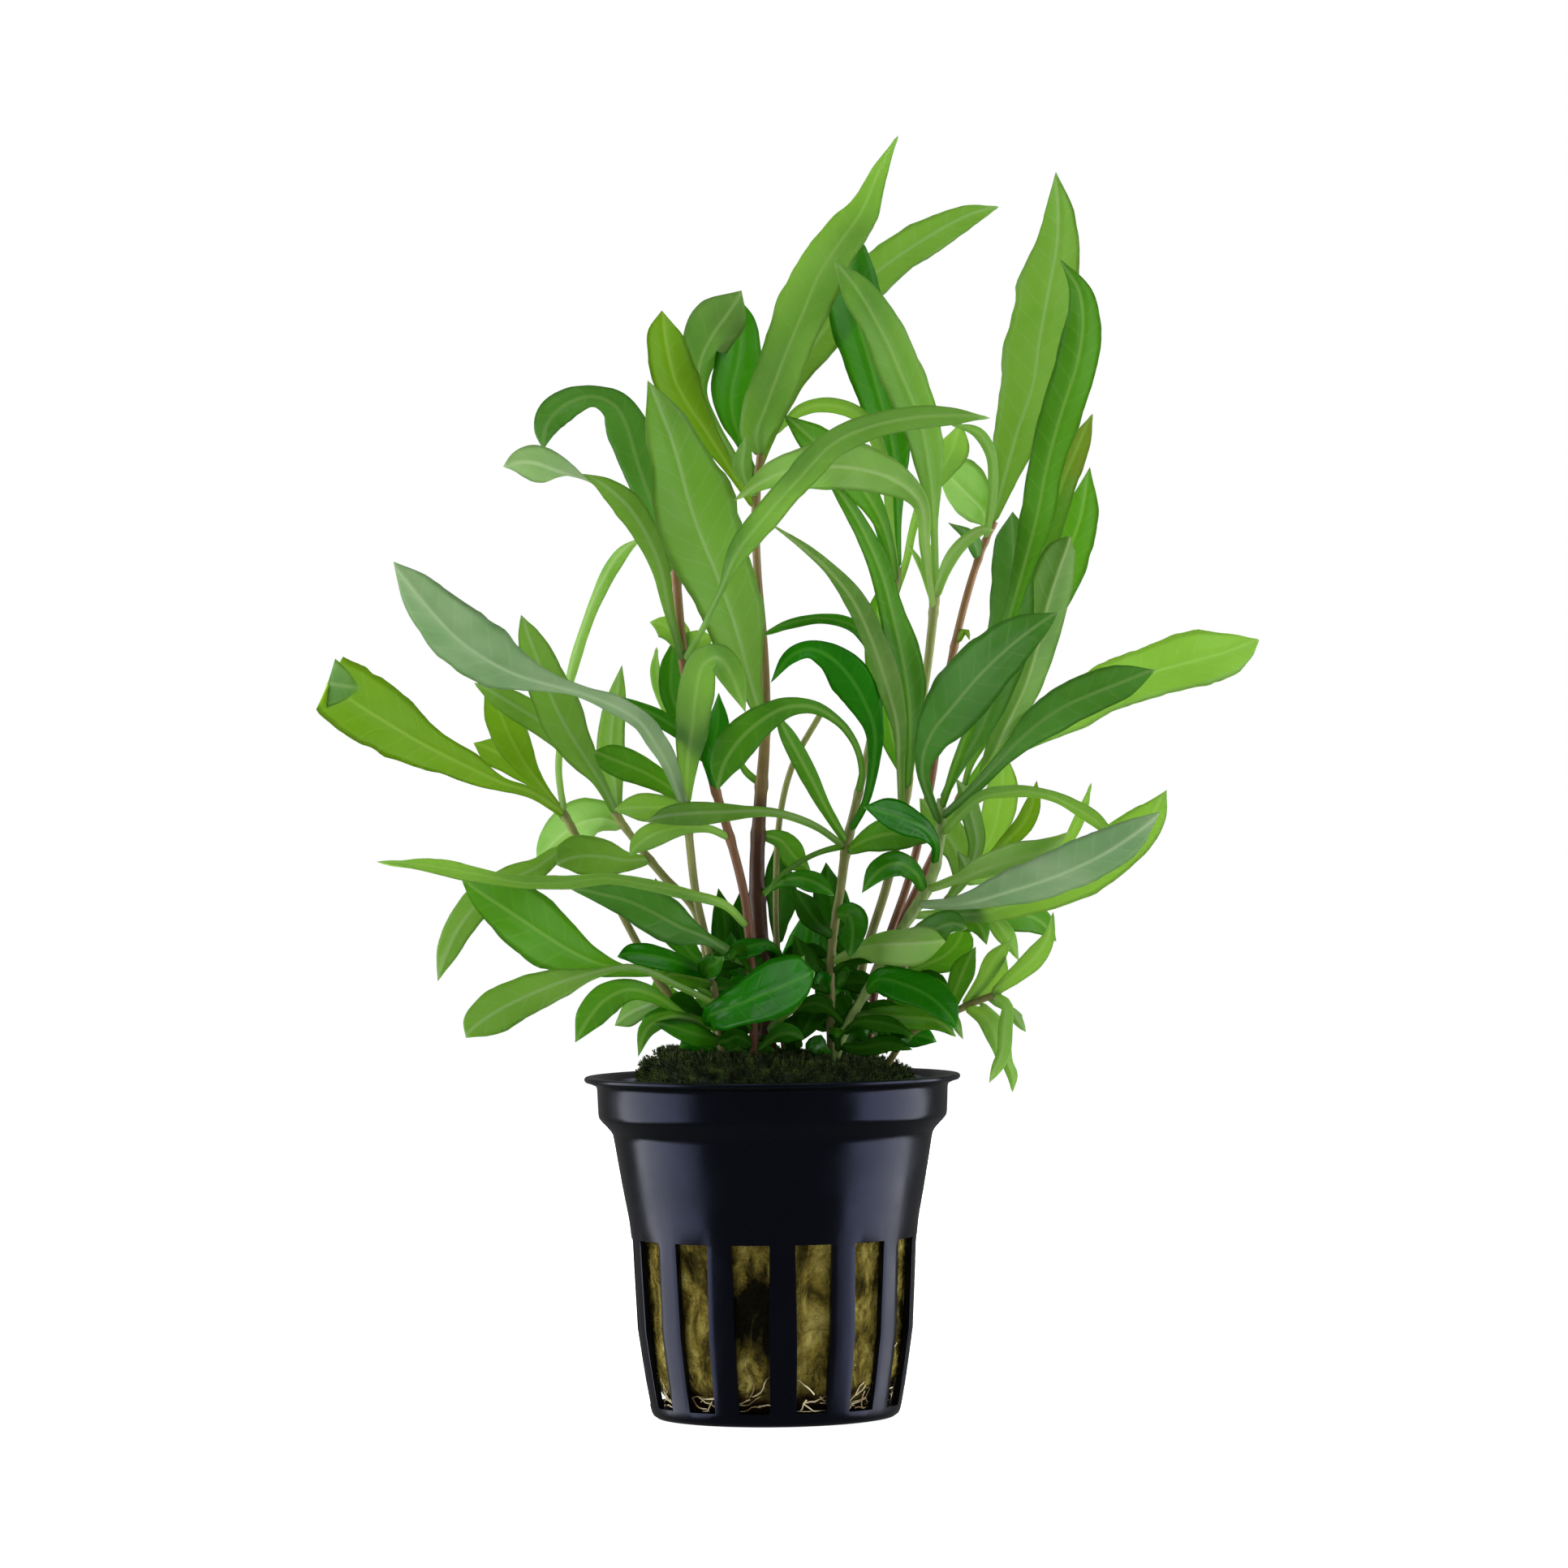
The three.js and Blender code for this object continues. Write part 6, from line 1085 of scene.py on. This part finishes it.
# The larger leaves: the stem, the height on it and the finish, then the rows as above
LEAVES = {
  "leaf_top_centre": ["stem_main", 140.4, "bright", [[-1, 143.6, -5.6, 4.8], [0.5, 148, -5.2, 6.2],
    [3.2, 155, -3.6, 7], [6.2, 162, -1.6, 7.6], [8.4, 167, 0.4, 7.3], [11, 171, 2.2, 6.6],
    [14.6, 176, 4.8, 4.7], [17.3, 182, 7.4, 2.4], [20, 187.2, 9.4, 0]]],
  "leaf_top_behind": ["stem_main", 138.5, "light", [[1.6, 146.5, -1.6, 3.2], [4.5, 152.5, 2.4, 5.4],
    [8.5, 158, 7, 6], [12.5, 163, 11.6, 6.4], [17, 167.3, 15.6, 6.2], [24, 172, 20, 5.4],
    [30, 175.2, 23, 3.6], [34.6, 176.6, 25, 0]]],
  "leaf_top_pair_back": ["stem_centre", 123.4, "dark", [[19.2, 131, 4.6, 1.3], [19, 137, 4.8, 3],
    [18.3, 143, 5.2, 5.4], [16.6, 149, 5.6, 6.8], [15, 155, 6, 7.6], [13.3, 161, 6.6, 9],
    [12.8, 166, 7.4, 7.8], [12.3, 171, 8.2, 5], [12, 174.6, 8.8, 0]]],
  "leaf_top_pair_front": ["stem_inner_right", 120.8, "bright", [[24.5, 130, 0.2, 1.3], [24, 137, -0.6, 3.4],
    [22.6, 145, -1.4, 5.9], [19.9, 152, -2, 6.3], [16.8, 159, -2.4, 5.8], [13.6, 164.6, -2.6, 4.8],
    [10.4, 168.8, -2.8, 0]]],
  "leaf_front_arch": ["stem_inner_left", 110.6, "bright", [[-9.3, 115.5, -12.6, 0.9], [-6.6, 121, -14.6, 1.1],
    [-4, 126.5, -15.4, 3], [0, 131.5, -15.4, 4], [5, 137, -16, 4.2], [10, 142, -16, 4],
    [15, 144.3, -15.6, 3.8], [21, 145.6, -14.8, 3.4], [27, 146, -13.8, 2.6], [33, 145.7, -12.6, 0]]],
  "leaf_cross_front": ["stem_centre", 121.5, "mid", [[17.4, 129, 0.8, 2], [15, 134, 0.4, 3.6],
    [11.6, 138.4, -1.4, 5.6], [7.6, 142, -3, 5.4], [2.6, 146.6, -4.4, 0]]],
  "leaf_cross_level": ["stem_inner_right", 117.4, "pale", [[23.4, 126.6, -2.4, 1.2], [22.6, 133.4, -4, 2.6],
    [18, 137.2, -6.4, 5.4], [11.6, 138.8, -8.4, 7], [5, 138.6, -10, 5.6], [0.4, 137.4, -11, 3.4],
    [-4.7, 134, -11.6, 0]]],
  "leaf_hanging_centre": ["stem_inner_right", 91, "mid", [[20.6, 100, -1.4, 2.5], [20.3, 106, -2.4, 5],
    [19.3, 112, -3.4, 5.2], [18, 118, -4.2, 3.6], [16.7, 123, -5, 3.2], [14.2, 129, -5.8, 2.8],
    [11.6, 133.6, -6.4, 2], [8.8, 137.4, -6.8, 0]]],
  "leaf_narrow_centre": ["stem_inner_right", 87, "dull", [[19.2, 94.5, -4.4, 1.2], [19, 101, -6.8, 2.4],
    [17.2, 108, -6.8, 3.6], [15.2, 114, -8, 3.6], [12.6, 119.5, -9, 3], [9.2, 123.8, -9.6, 1.8],
    [5.4, 127.2, -10, 1.2], [0.8, 130.5, -10.4, 0]]],
  "leaf_round_right": ["stem_centre", 119.2, "bright", [[20.6, 125.2, 5.8, 1.1], [21.5, 129.5, 7, 1.2],
    [23.2, 134, 8, 2], [25.8, 138, 9.4, 3.8], [27.7, 141.4, 10.2, 4.6], [28.7, 145.2, 10.8, 0]]],
  "leaf_pale_right": ["stem_outer_right", 130, "pale", [[31.3, 133, 10.6, 5], [29, 135.3, 12.6, 7.4],
    [27, 137.4, 14, 5.6], [24.6, 139.8, 15.6, 0]]],
  "leaf_tall_right": ["stem_outer_right", 130.2, "light", [[35.2, 137, 6, 4], [37.1, 143.5, 6.6, 7],
    [39.5, 150.5, 7.2, 8.8], [40.5, 157, 7.8, 9.4], [42, 164.5, 8.6, 9], [43.3, 171.6, 9.6, 6.4],
    [43.4, 177, 10.6, 3.6], [43, 181.6, 11.4, 0]]],
  "leaf_hooked_right": ["stem_low_right", 88.4, "mid", [[28.2, 97, -5, 1.4], [31.5, 105, -6.2, 1.6],
    [34.8, 114, -6.4, 2], [37.6, 123, -5.4, 3], [39.9, 131.5, -4, 5], [41.5, 139, -2.8, 5.2],
    [43.8, 147, -2, 6], [46, 153.5, -1.4, 6.4], [46.9, 159.5, -1, 5], [46.3, 164.4, -0.6, 3.2],
    [43.5, 168.8, -0.2, 0]]],
  "leaf_torn_right": ["stem_back_right", 91.5, "torn", [[29.6, 95, 9.8, 1], [33.5, 101.5, 11.6, 1.3],
    [37, 111, 13.6, 1.6], [39.6, 121, 15.2, 2.6], [41.2, 129, 16.2, 4.4], [43.6, 136, 17, 4.6],
    [46, 141.5, 17.6, 3.4], [48, 146.2, 18, 0]]],
  "leaf_bright_right": ["stem_back_right", 90, "mid", [[33.6, 98.5, 13, 1.5], [37.6, 108, 18.6, 2.4],
    [41, 117, 21.6, 5.4], [43.8, 124.5, 23.4, 7], [46.2, 131, 24.6, 5.6], [47.5, 138.4, 25.4, 0]]],
  "leaf_upright_right": ["stem_low_right", 89.6, "cool", [[28, 94.7, -0.2, 1.5], [30.7, 99, 0.4, 2.6],
    [33.3, 105, 0.6, 5], [35.2, 111.5, 0.6, 6.4], [36.1, 118, 0.6, 6.6], [36.4, 124, 0.6, 6.4],
    [36.3, 128.5, 0.6, 4.6], [36.1, 132, 0.6, 0]]],
  "leaf_olive_right": ["stem_back_right", 87.4, "dull", [[30.5, 91.4, 6.9, 1.1], [31.9, 94.8, 7.3, 1.8],
    [34.5, 100.3, 8.6, 3.4], [37.3, 106, 9.2, 5.6], [39.3, 112, 9.8, 6.6], [40.8, 118, 10.4, 6.6],
    [42.6, 123.4, 11, 6.4], [43.8, 126.6, 11.4, 4], [44.4, 128.4, 11.6, 0]]],
  "leaf_big_dark_right": ["stem_low_right", 86, "cool", [[22.6, 94.4, -7, 2], [24, 99.4, -10, 5.4],
    [27, 103.2, -12.6, 8], [31, 107.8, -15, 8.8], [35.5, 112, -16.6, 7.4], [39, 114.7, -17.6, 4.4],
    [42.8, 117.2, -18.2, 0]]],
  "leaf_long_right": ["stem_back_right", 84.4, "bright", [[30.2, 91.6, 5.4, 1.6], [34, 95.8, 6.2, 2.4],
    [38.5, 99.2, 8.2, 4.6], [44, 102.6, 10.6, 6.8], [50, 105.6, 13.4, 7.4], [55.5, 107.8, 16, 7.6],
    [61, 109.3, 18.6, 8.7], [66.5, 110.7, 21, 7], [70, 112, 22.4, 3.6], [72, 112.8, 23.2, 0]]],
  "leaf_long_right_front": ["stem_low_right", 87.2, "cool", [[30, 91.4, -6.6, 1.6], [34.5, 96, -9, 2.4],
    [38.7, 100, -11.6, 4.4], [43, 103, -13.6, 5.9], [47.5, 105, -15.2, 6.2], [52, 106.7, -16.4, 5],
    [56.8, 108.6, -17.2, 0]]],
  "leaf_grey_right": ["stem_low_right", 74.6, "grey", [[26, 74.6, -7, 1.8], [30, 75.1, -9.4, 3],
    [34.5, 76.4, -12, 4.8], [39.5, 77.9, -14.6, 6.2], [44.5, 79.8, -17, 6.6], [49.4, 82.2, -19, 6],
    [53.4, 84.8, -20.4, 4.4], [57.2, 87.8, -21.4, 0]]],
  "leaf_low_right_back": ["stem_low_right", 73, "bright", [[25, 73, -2.6, 1.6], [30.5, 73, -2.4, 2.4],
    [36, 74.5, -3, 4.4], [42, 76.8, -4, 6], [47.5, 79.8, -5, 7], [52.3, 83.3, -6, 7], [56, 87, -6.8, 4.6],
    [58.2, 91, -7.2, 0]]],
  "leaf_short_right": ["stem_low_right", 76.6, "pale", [[27.8, 78.4, -6.8, 1.8], [31.5, 79.8, -9, 3.4],
    [36, 81.2, -11, 4.2], [40, 82.4, -12.4, 3.4], [43.9, 85, -13.4, 0]]],
  "leaf_ribbon_right": ["stem_low_right", 84.6, "bright", [[30.5, 90.2, -8, 2.4, 50], [34, 91.1, -10.4, 3.2, 58],
    [38, 91.3, -12.6, 3.4, 60], [41.5, 90.5, -14, 3.2, 58], [44.5, 89, -15, 3, 50],
    [47.8, 86.8, -15.8, 2.4, 36], [51.4, 82.8, -16.4, 0, 20]]],
  "leaf_broad_low_right": ["stem_side_right", 69.6, "mid", [[24.6, 71, 3.4, 1], [27.6, 72.6, 4, 2.6],
    [31, 73.4, 4.6, 5], [35.6, 73.2, 6.2, 5.8], [39.4, 71.8, 7.4, 3.8], [41.8, 69, 8, 0]]],
  "leaf_arch_centre": ["stem_centre", 91, "mid", [[13.6, 94.4, -3.6, 0.9], [12.8, 98, -6, 1],
    [10.4, 101.4, -8.6, 1.3], [6.6, 103.7, -10.4, 2], [2.6, 103.7, -11.6, 3], [-1.2, 101.7, -12.6, 4.4],
    [-4.4, 98.8, -13.2, 5.2], [-6.6, 95.4, -13.6, 4.2], [-7.6, 91.6, -14, 0]]],
  "leaf_dark_arch": ["stem_centre", 85.4, "deep", [[14.2, 90, -3.4, 1.2], [15.4, 95.6, -4.2, 1.8],
    [15.5, 100.4, -5, 2.8], [14, 104.6, -6, 4.8], [11.9, 108.2, -7.2, 6], [9, 111.1, -8.4, 4.2],
    [6, 112.2, -9.4, 2.6], [3.2, 111, -10.2, 2.2], [0.4, 107.3, -10.8, 0]]],
  "leaf_curled_left": ["stem_low_left", 89.4, "bright", [[-11.9, 95.6, -9.4, 3], [-11.2, 100.4, -10.6, 4.8],
    [-10.6, 105.4, -11.8, 5.2], [-9.4, 110, -13, 4.6], [-7, 111, -14.6, 4.2], [-5, 107.8, -16.2, 3.6],
    [-3.3, 103, -17.4, 0]]],
  "leaf_largest_front": ["stem_main", 100.5, "light", [[-2.3, 106, -8, 3], [-3.6, 111, -9.2, 6],
    [-5.3, 117, -10.2, 8.6], [-7.6, 123.5, -11, 10.6], [-10, 129.5, -11.8, 11.6],
    [-11.6, 134.6, -12.4, 11.8], [-12.7, 139, -12.8, 9.6], [-14, 143.4, -13.2, 7.2],
    [-15.7, 148, -13.6, 3.8], [-17.1, 151.8, -13.8, 0]]],
  "leaf_folded_left": ["stem_inner_left", 122.6, "cool", [[-15.4, 130.5, -5, 2.6], [-17.3, 135.5, -3.8, 4.4],
    [-18.9, 140.5, -2.8, 5.4], [-20.2, 145, -2.2, 6.2], [-21.8, 148, -2.4, 4.8],
    [-24.8, 149.5, -3.2, 3.2], [-28.3, 148.8, -4.4, 4.2], [-31, 146.8, -5.8, 4.8],
    [-32.2, 144.6, -7.4, 3.4], [-32.5, 141.8, -8.4, 0]]],
  "leaf_twisted_left": ["stem_inner_left", 109.4, "light", [[-14.3, 118, -8.6, 1.6], [-15.6, 124.6, -9.6, 2.8],
    [-17.8, 129.8, -10.8, 3.6], [-20.2, 133.4, -12, 4.2, 0], [-23.2, 136, -13.2, 3, 20],
    [-26, 137.5, -14.4, 2, 70], [-28.6, 138.3, -15.4, 3, 125], [-31.4, 139.1, -16.6, 4.8, 165],
    [-33.8, 139.9, -17.4, 5.2, 180], [-36.2, 140, -18.2, 3.4, 185], [-38.4, 139.4, -19, 0, 185]]],
  "leaf_bright_top_left": ["stem_main", 132.6, "yellow", [[-4.6, 137.4, -5.8, 1.2], [-6.8, 141, -5.8, 2.4],
    [-9.2, 144.8, -5.8, 3.8], [-11.6, 148.4, -5.6, 5.4], [-13.2, 151.6, -5.4, 6.8],
    [-14.1, 155, -5, 6.6], [-14.7, 158.6, -4.6, 5], [-14.9, 162, -4.2, 0]]],
  "leaf_blue_top_left": ["stem_main", 135, "dull", [[-5, 141, -3, 1.4], [-7.6, 145.4, -1.6, 1.8],
    [-9.5, 149.4, -1, 2.4], [-9.8, 153, -0.8, 4.2], [-8.9, 156, -1, 6.6], [-7.2, 159, -1.2, 7.8],
    [-5.1, 161.8, -1.6, 6.2], [-3.2, 164.8, -2, 0]]],
  "leaf_dark_top_left": ["stem_main", 136.6, "dark", [[-3.4, 142, -1.2, 1.6], [-4.8, 146, -0.4, 3.8],
    [-5, 150, 0.6, 6.2], [-4.1, 154, 1.6, 7.2], [-3.6, 158, 2.6, 5.6], [-4, 161.4, 3.4, 4.2],
    [-4.4, 164.2, 4, 0]]],
  "leaf_far_left": ["stem_far_left", 88.2, "yellow", [[-35, 91.6, -4.4, 1.6], [-39, 92.9, -7, 2],
    [-44, 95.3, -9.8, 4.4], [-50, 98.4, -13, 6.2], [-56, 102, -16, 9], [-60.6, 105, -18, 10],
    [-64.4, 108, -19.4, 8]]],
  "leaf_long_left": ["stem_low_left", 87.8, "grey", [[-14.4, 95, -10, 2.2], [-16.3, 98.5, -12, 3],
    [-18.6, 101.8, -13.8, 3], [-22.5, 104.3, -15.8, 2.6], [-27.5, 106.3, -17.6, 1.8],
    [-32, 107.6, -18.8, 3], [-36, 108.8, -19.6, 5], [-40, 110.7, -20.2, 7.6], [-45, 114.2, -20.8, 9],
    [-49, 118.5, -21.2, 7], [-52, 122.3, -21.4, 4.2], [-54.6, 125.7, -21.6, 0]]],
  "leaf_upright_left": ["stem_mid_left", 88.2, "light", [[-25, 93.3, -1.8, 2], [-27.3, 97, -3, 4.4],
    [-30, 101.5, -4.4, 6.2], [-32.3, 106.5, -5.8, 6.2], [-34, 111.5, -7, 5], [-35.3, 115, -7.8, 2.8],
    [-36, 117.7, -8.4, 0]]],
  "leaf_hanging_left": ["stem_far_left", 83, "light", [[-31, 82.6, -4, 2.2], [-34, 80.6, -6.6, 3.2],
    [-38.5, 78.4, -9, 4], [-42.5, 75.6, -11, 4.6], [-45.4, 72, -12.2, 4.2], [-47.4, 68, -13, 2.8],
    [-48.8, 64.2, -13.4, 0]]],
  "leaf_level_left": ["stem_inner_left", 71.6, "bright", [[-6.6, 74.8, -9.6, 1.4, 20], [-12, 76.4, -12.6, 2.6, 50],
    [-18, 77.6, -15.4, 4, 64], [-24, 78.6, -17.8, 4.8, 68], [-30, 78.1, -19.8, 4.8, 68],
    [-36, 78.1, -21.6, 5, 66], [-43, 79.5, -23.4, 4.8, 64], [-50, 80.8, -25, 3.8, 60],
    [-57.6, 81.8, -26.4, 0, 60]]],
  "leaf_broad_left": ["stem_low_left", 61.2, "mid", [[-14, 64.6, -8.6, 1], [-20.6, 65.2, -11, 1.4],
    [-26, 66.6, -13.4, 4], [-30, 68.6, -15, 7.4], [-34.6, 71.6, -16.8, 8.8], [-39, 74.6, -18.4, 7.8],
    [-42.6, 77, -19.6, 4.6], [-45.1, 79, -20.4, 0]]],
  "leaf_rounded_left": ["stem_low_left", 60.2, "light", [[-13.4, 63, -13.4, 1], [-20, 65.8, -16, 1],
    [-26, 65, -19, 1.6], [-31, 63.6, -21, 4], [-36, 61.6, -23, 5.8], [-40.4, 59.4, -24.4, 6.2],
    [-43.3, 57.4, -25.2, 4.2], [-44.8, 55.9, -25.6, 0]]],
}

# A tip that is folded back over its own leaf, as across, up, back and width
FOLDED_TIPS = {
  "leaf_far_left": [[-64.4, 108, -19.4, 8], [-62, 107.6, -20.6, 5.4], [-59.6, 107.2, -21.4, 0]],
}

for stem, height, finish, rows in LEAVES.values():
    ring_heights[stem].append(height)

# Fine roots have grown out of the wool at the foot of the slots. Each is a thin pale thread of living tissue that
# wanders over the wool just inside the wall of the pot, and bulges out a little where it crosses a slot.
ROOT_COUNT = 84
ROOT_STEP = 0.7 * MM
ROOT_RADIUS = 17.2 * MM
ROOT_LOWEST, ROOT_HIGHEST = 2.3 * MM, 15 * MM
WALL_SLOPE = 0.14
ROOT_TAPER = 0.6
wander = random.Random(11)


def root_line(number):
    """One root's path from a slot's foot, as a line that carries its thickness."""
    turn = SLOT_TURN + (wander.randrange(SLOT_COUNT) + wander.uniform(0.3, 0.7)) * math.tau / SLOT_COUNT - math.pi / 2
    height = wander.uniform(2.4, 5) * MM
    heading = wander.choice((0, math.pi)) + wander.uniform(-0.5, 0.9)
    swing = wander.uniform(0.3, 1)
    places = []
    for step in range(wander.randrange(9, 17)):
        heading += wander.uniform(-0.55, 0.55)
        slot_share = (turn + math.pi / 2 - SLOT_TURN) / math.tau * SLOT_COUNT % 1
        bulge = swing * max(math.cos((slot_share - 0.5) * math.tau), 0) * MM
        radius = ROOT_RADIUS + WALL_SLOPE * (height - SLOT_BOTTOM) + bulge
        places.append(Vector((radius * math.cos(turn), radius * math.sin(turn), height)))
        turn += ROOT_STEP * math.cos(heading) / radius
        height = min(max(height + ROOT_STEP * math.sin(heading), ROOT_LOWEST), ROOT_HIGHEST)
    thick = [wander.uniform(0.09, 0.13) * MM * (1 - ROOT_TAPER * at / len(places)) for at in range(len(places))]
    return new_piece(f"root_{number}", path_mesh(f"root_{number}", places, {"thick": thick}))


# Living root: pale cream with a soft dull skin, browner where it is old
root_skin, tree, out = bare_material("pale living root")
place = add_node(tree, "ShaderNodeTexCoord").outputs["Object"]
age = ranged(tree, noise_of(tree, place, 4 * MM, 1.0), 0.4, 0.6)
principled(tree, out, {"Base Color": blended(tree, age, linear("D9CFA8"), linear("7A6440")), "Roughness": 0.6})

threads = [grown(root_line(number), stalk_tree, {"Sides": 5, "Finish": root_skin}) for number in range(ROOT_COUNT)]
wool = joined([wool] + threads)
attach(wool, "root")
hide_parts("rock_wool")

# The lowest leaves are short and crowd round the foot of each stem in pairs that cross one another. About half of
# them carry the painted shade of the plant's dim inside, and the others the dark and deep greens. They are living
# tissue like the leaves above them. Each stem is then joined with all of its small leaves.
LOW_PAIRS = {"stem_main": 4, "stem_centre": 4, "stem_inner_right": 3, "stem_outer_right": 2, "stem_inner_left": 4,
    "stem_far_left": 2, "stem_mid_left": 3, "stem_low_left": 3, "stem_low_right": 2, "stem_thin": 4,
    "stem_back_right": 3, "stem_side_right": 3, "stem_edge_right": 1}
LOWEST_PAIR = 52.6
PAIR_GAP = 4
LOW_SHAPE = ((0.3, 0.4), (0.55, 1), (0.8, 0.85), (1, 0))
LOW_FINISHES = ("shade", "shade", "deep", "dark")
crowd = random.Random(23)


def low_leaves(stem):
    """The lowest leaves of a stem, as rows like those of its other small leaves."""
    leaves, turn = [], crowd.uniform(0, math.pi)
    for pair in range(LOW_PAIRS[stem]):
        height = LOWEST_PAIR + PAIR_GAP * pair + crowd.uniform(-0.5, 0.5)
        across, up, back = join_point(stem, height)
        turn += math.pi / 2 + crowd.uniform(-0.3, 0.3)
        for side in (0, math.pi):
            reach, rise, breadth = crowd.uniform(5.5, 9), crowd.uniform(0.8, 3.6), crowd.uniform(2.6, 3.8)
            away, deep = reach * math.cos(turn + side), reach * math.sin(turn + side)
            twist, finish = crowd.uniform(-40, 40), crowd.choice(LOW_FINISHES)
            leaves.append((height, finish, [[across + away * share, up + rise * math.sin(2.4 * share),
                back + deep * share / DEPTH_SPREAD, breadth * width, twist] for share, width in LOW_SHAPE]))
    return leaves


for stem in STEMS:
    parts = [stalk(stem)]
    for number, (height, finish, rows) in enumerate(SMALL_LEAVES.get(stem, []) + low_leaves(stem)):
        parts.append(blade(f"{stem}_leaf_{number}", rows, finish, stem, height))
    shoot = joined(parts)
    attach(shoot, "root")
    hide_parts(stem)

# Each large leaf is its own piece, with its folded tip where it has one
for leaf, (stem, height, finish, rows) in LEAVES.items():
    parts = [blade(leaf.replace("leaf", "blade"), rows, finish, stem, height, large=True)]
    if leaf in FOLDED_TIPS:
        parts.append(blade(leaf + "_tip", FOLDED_TIPS[leaf], BACKS[finish], rolled=False))
    whole = joined(parts)
    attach(whole, "root")
    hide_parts(leaf)
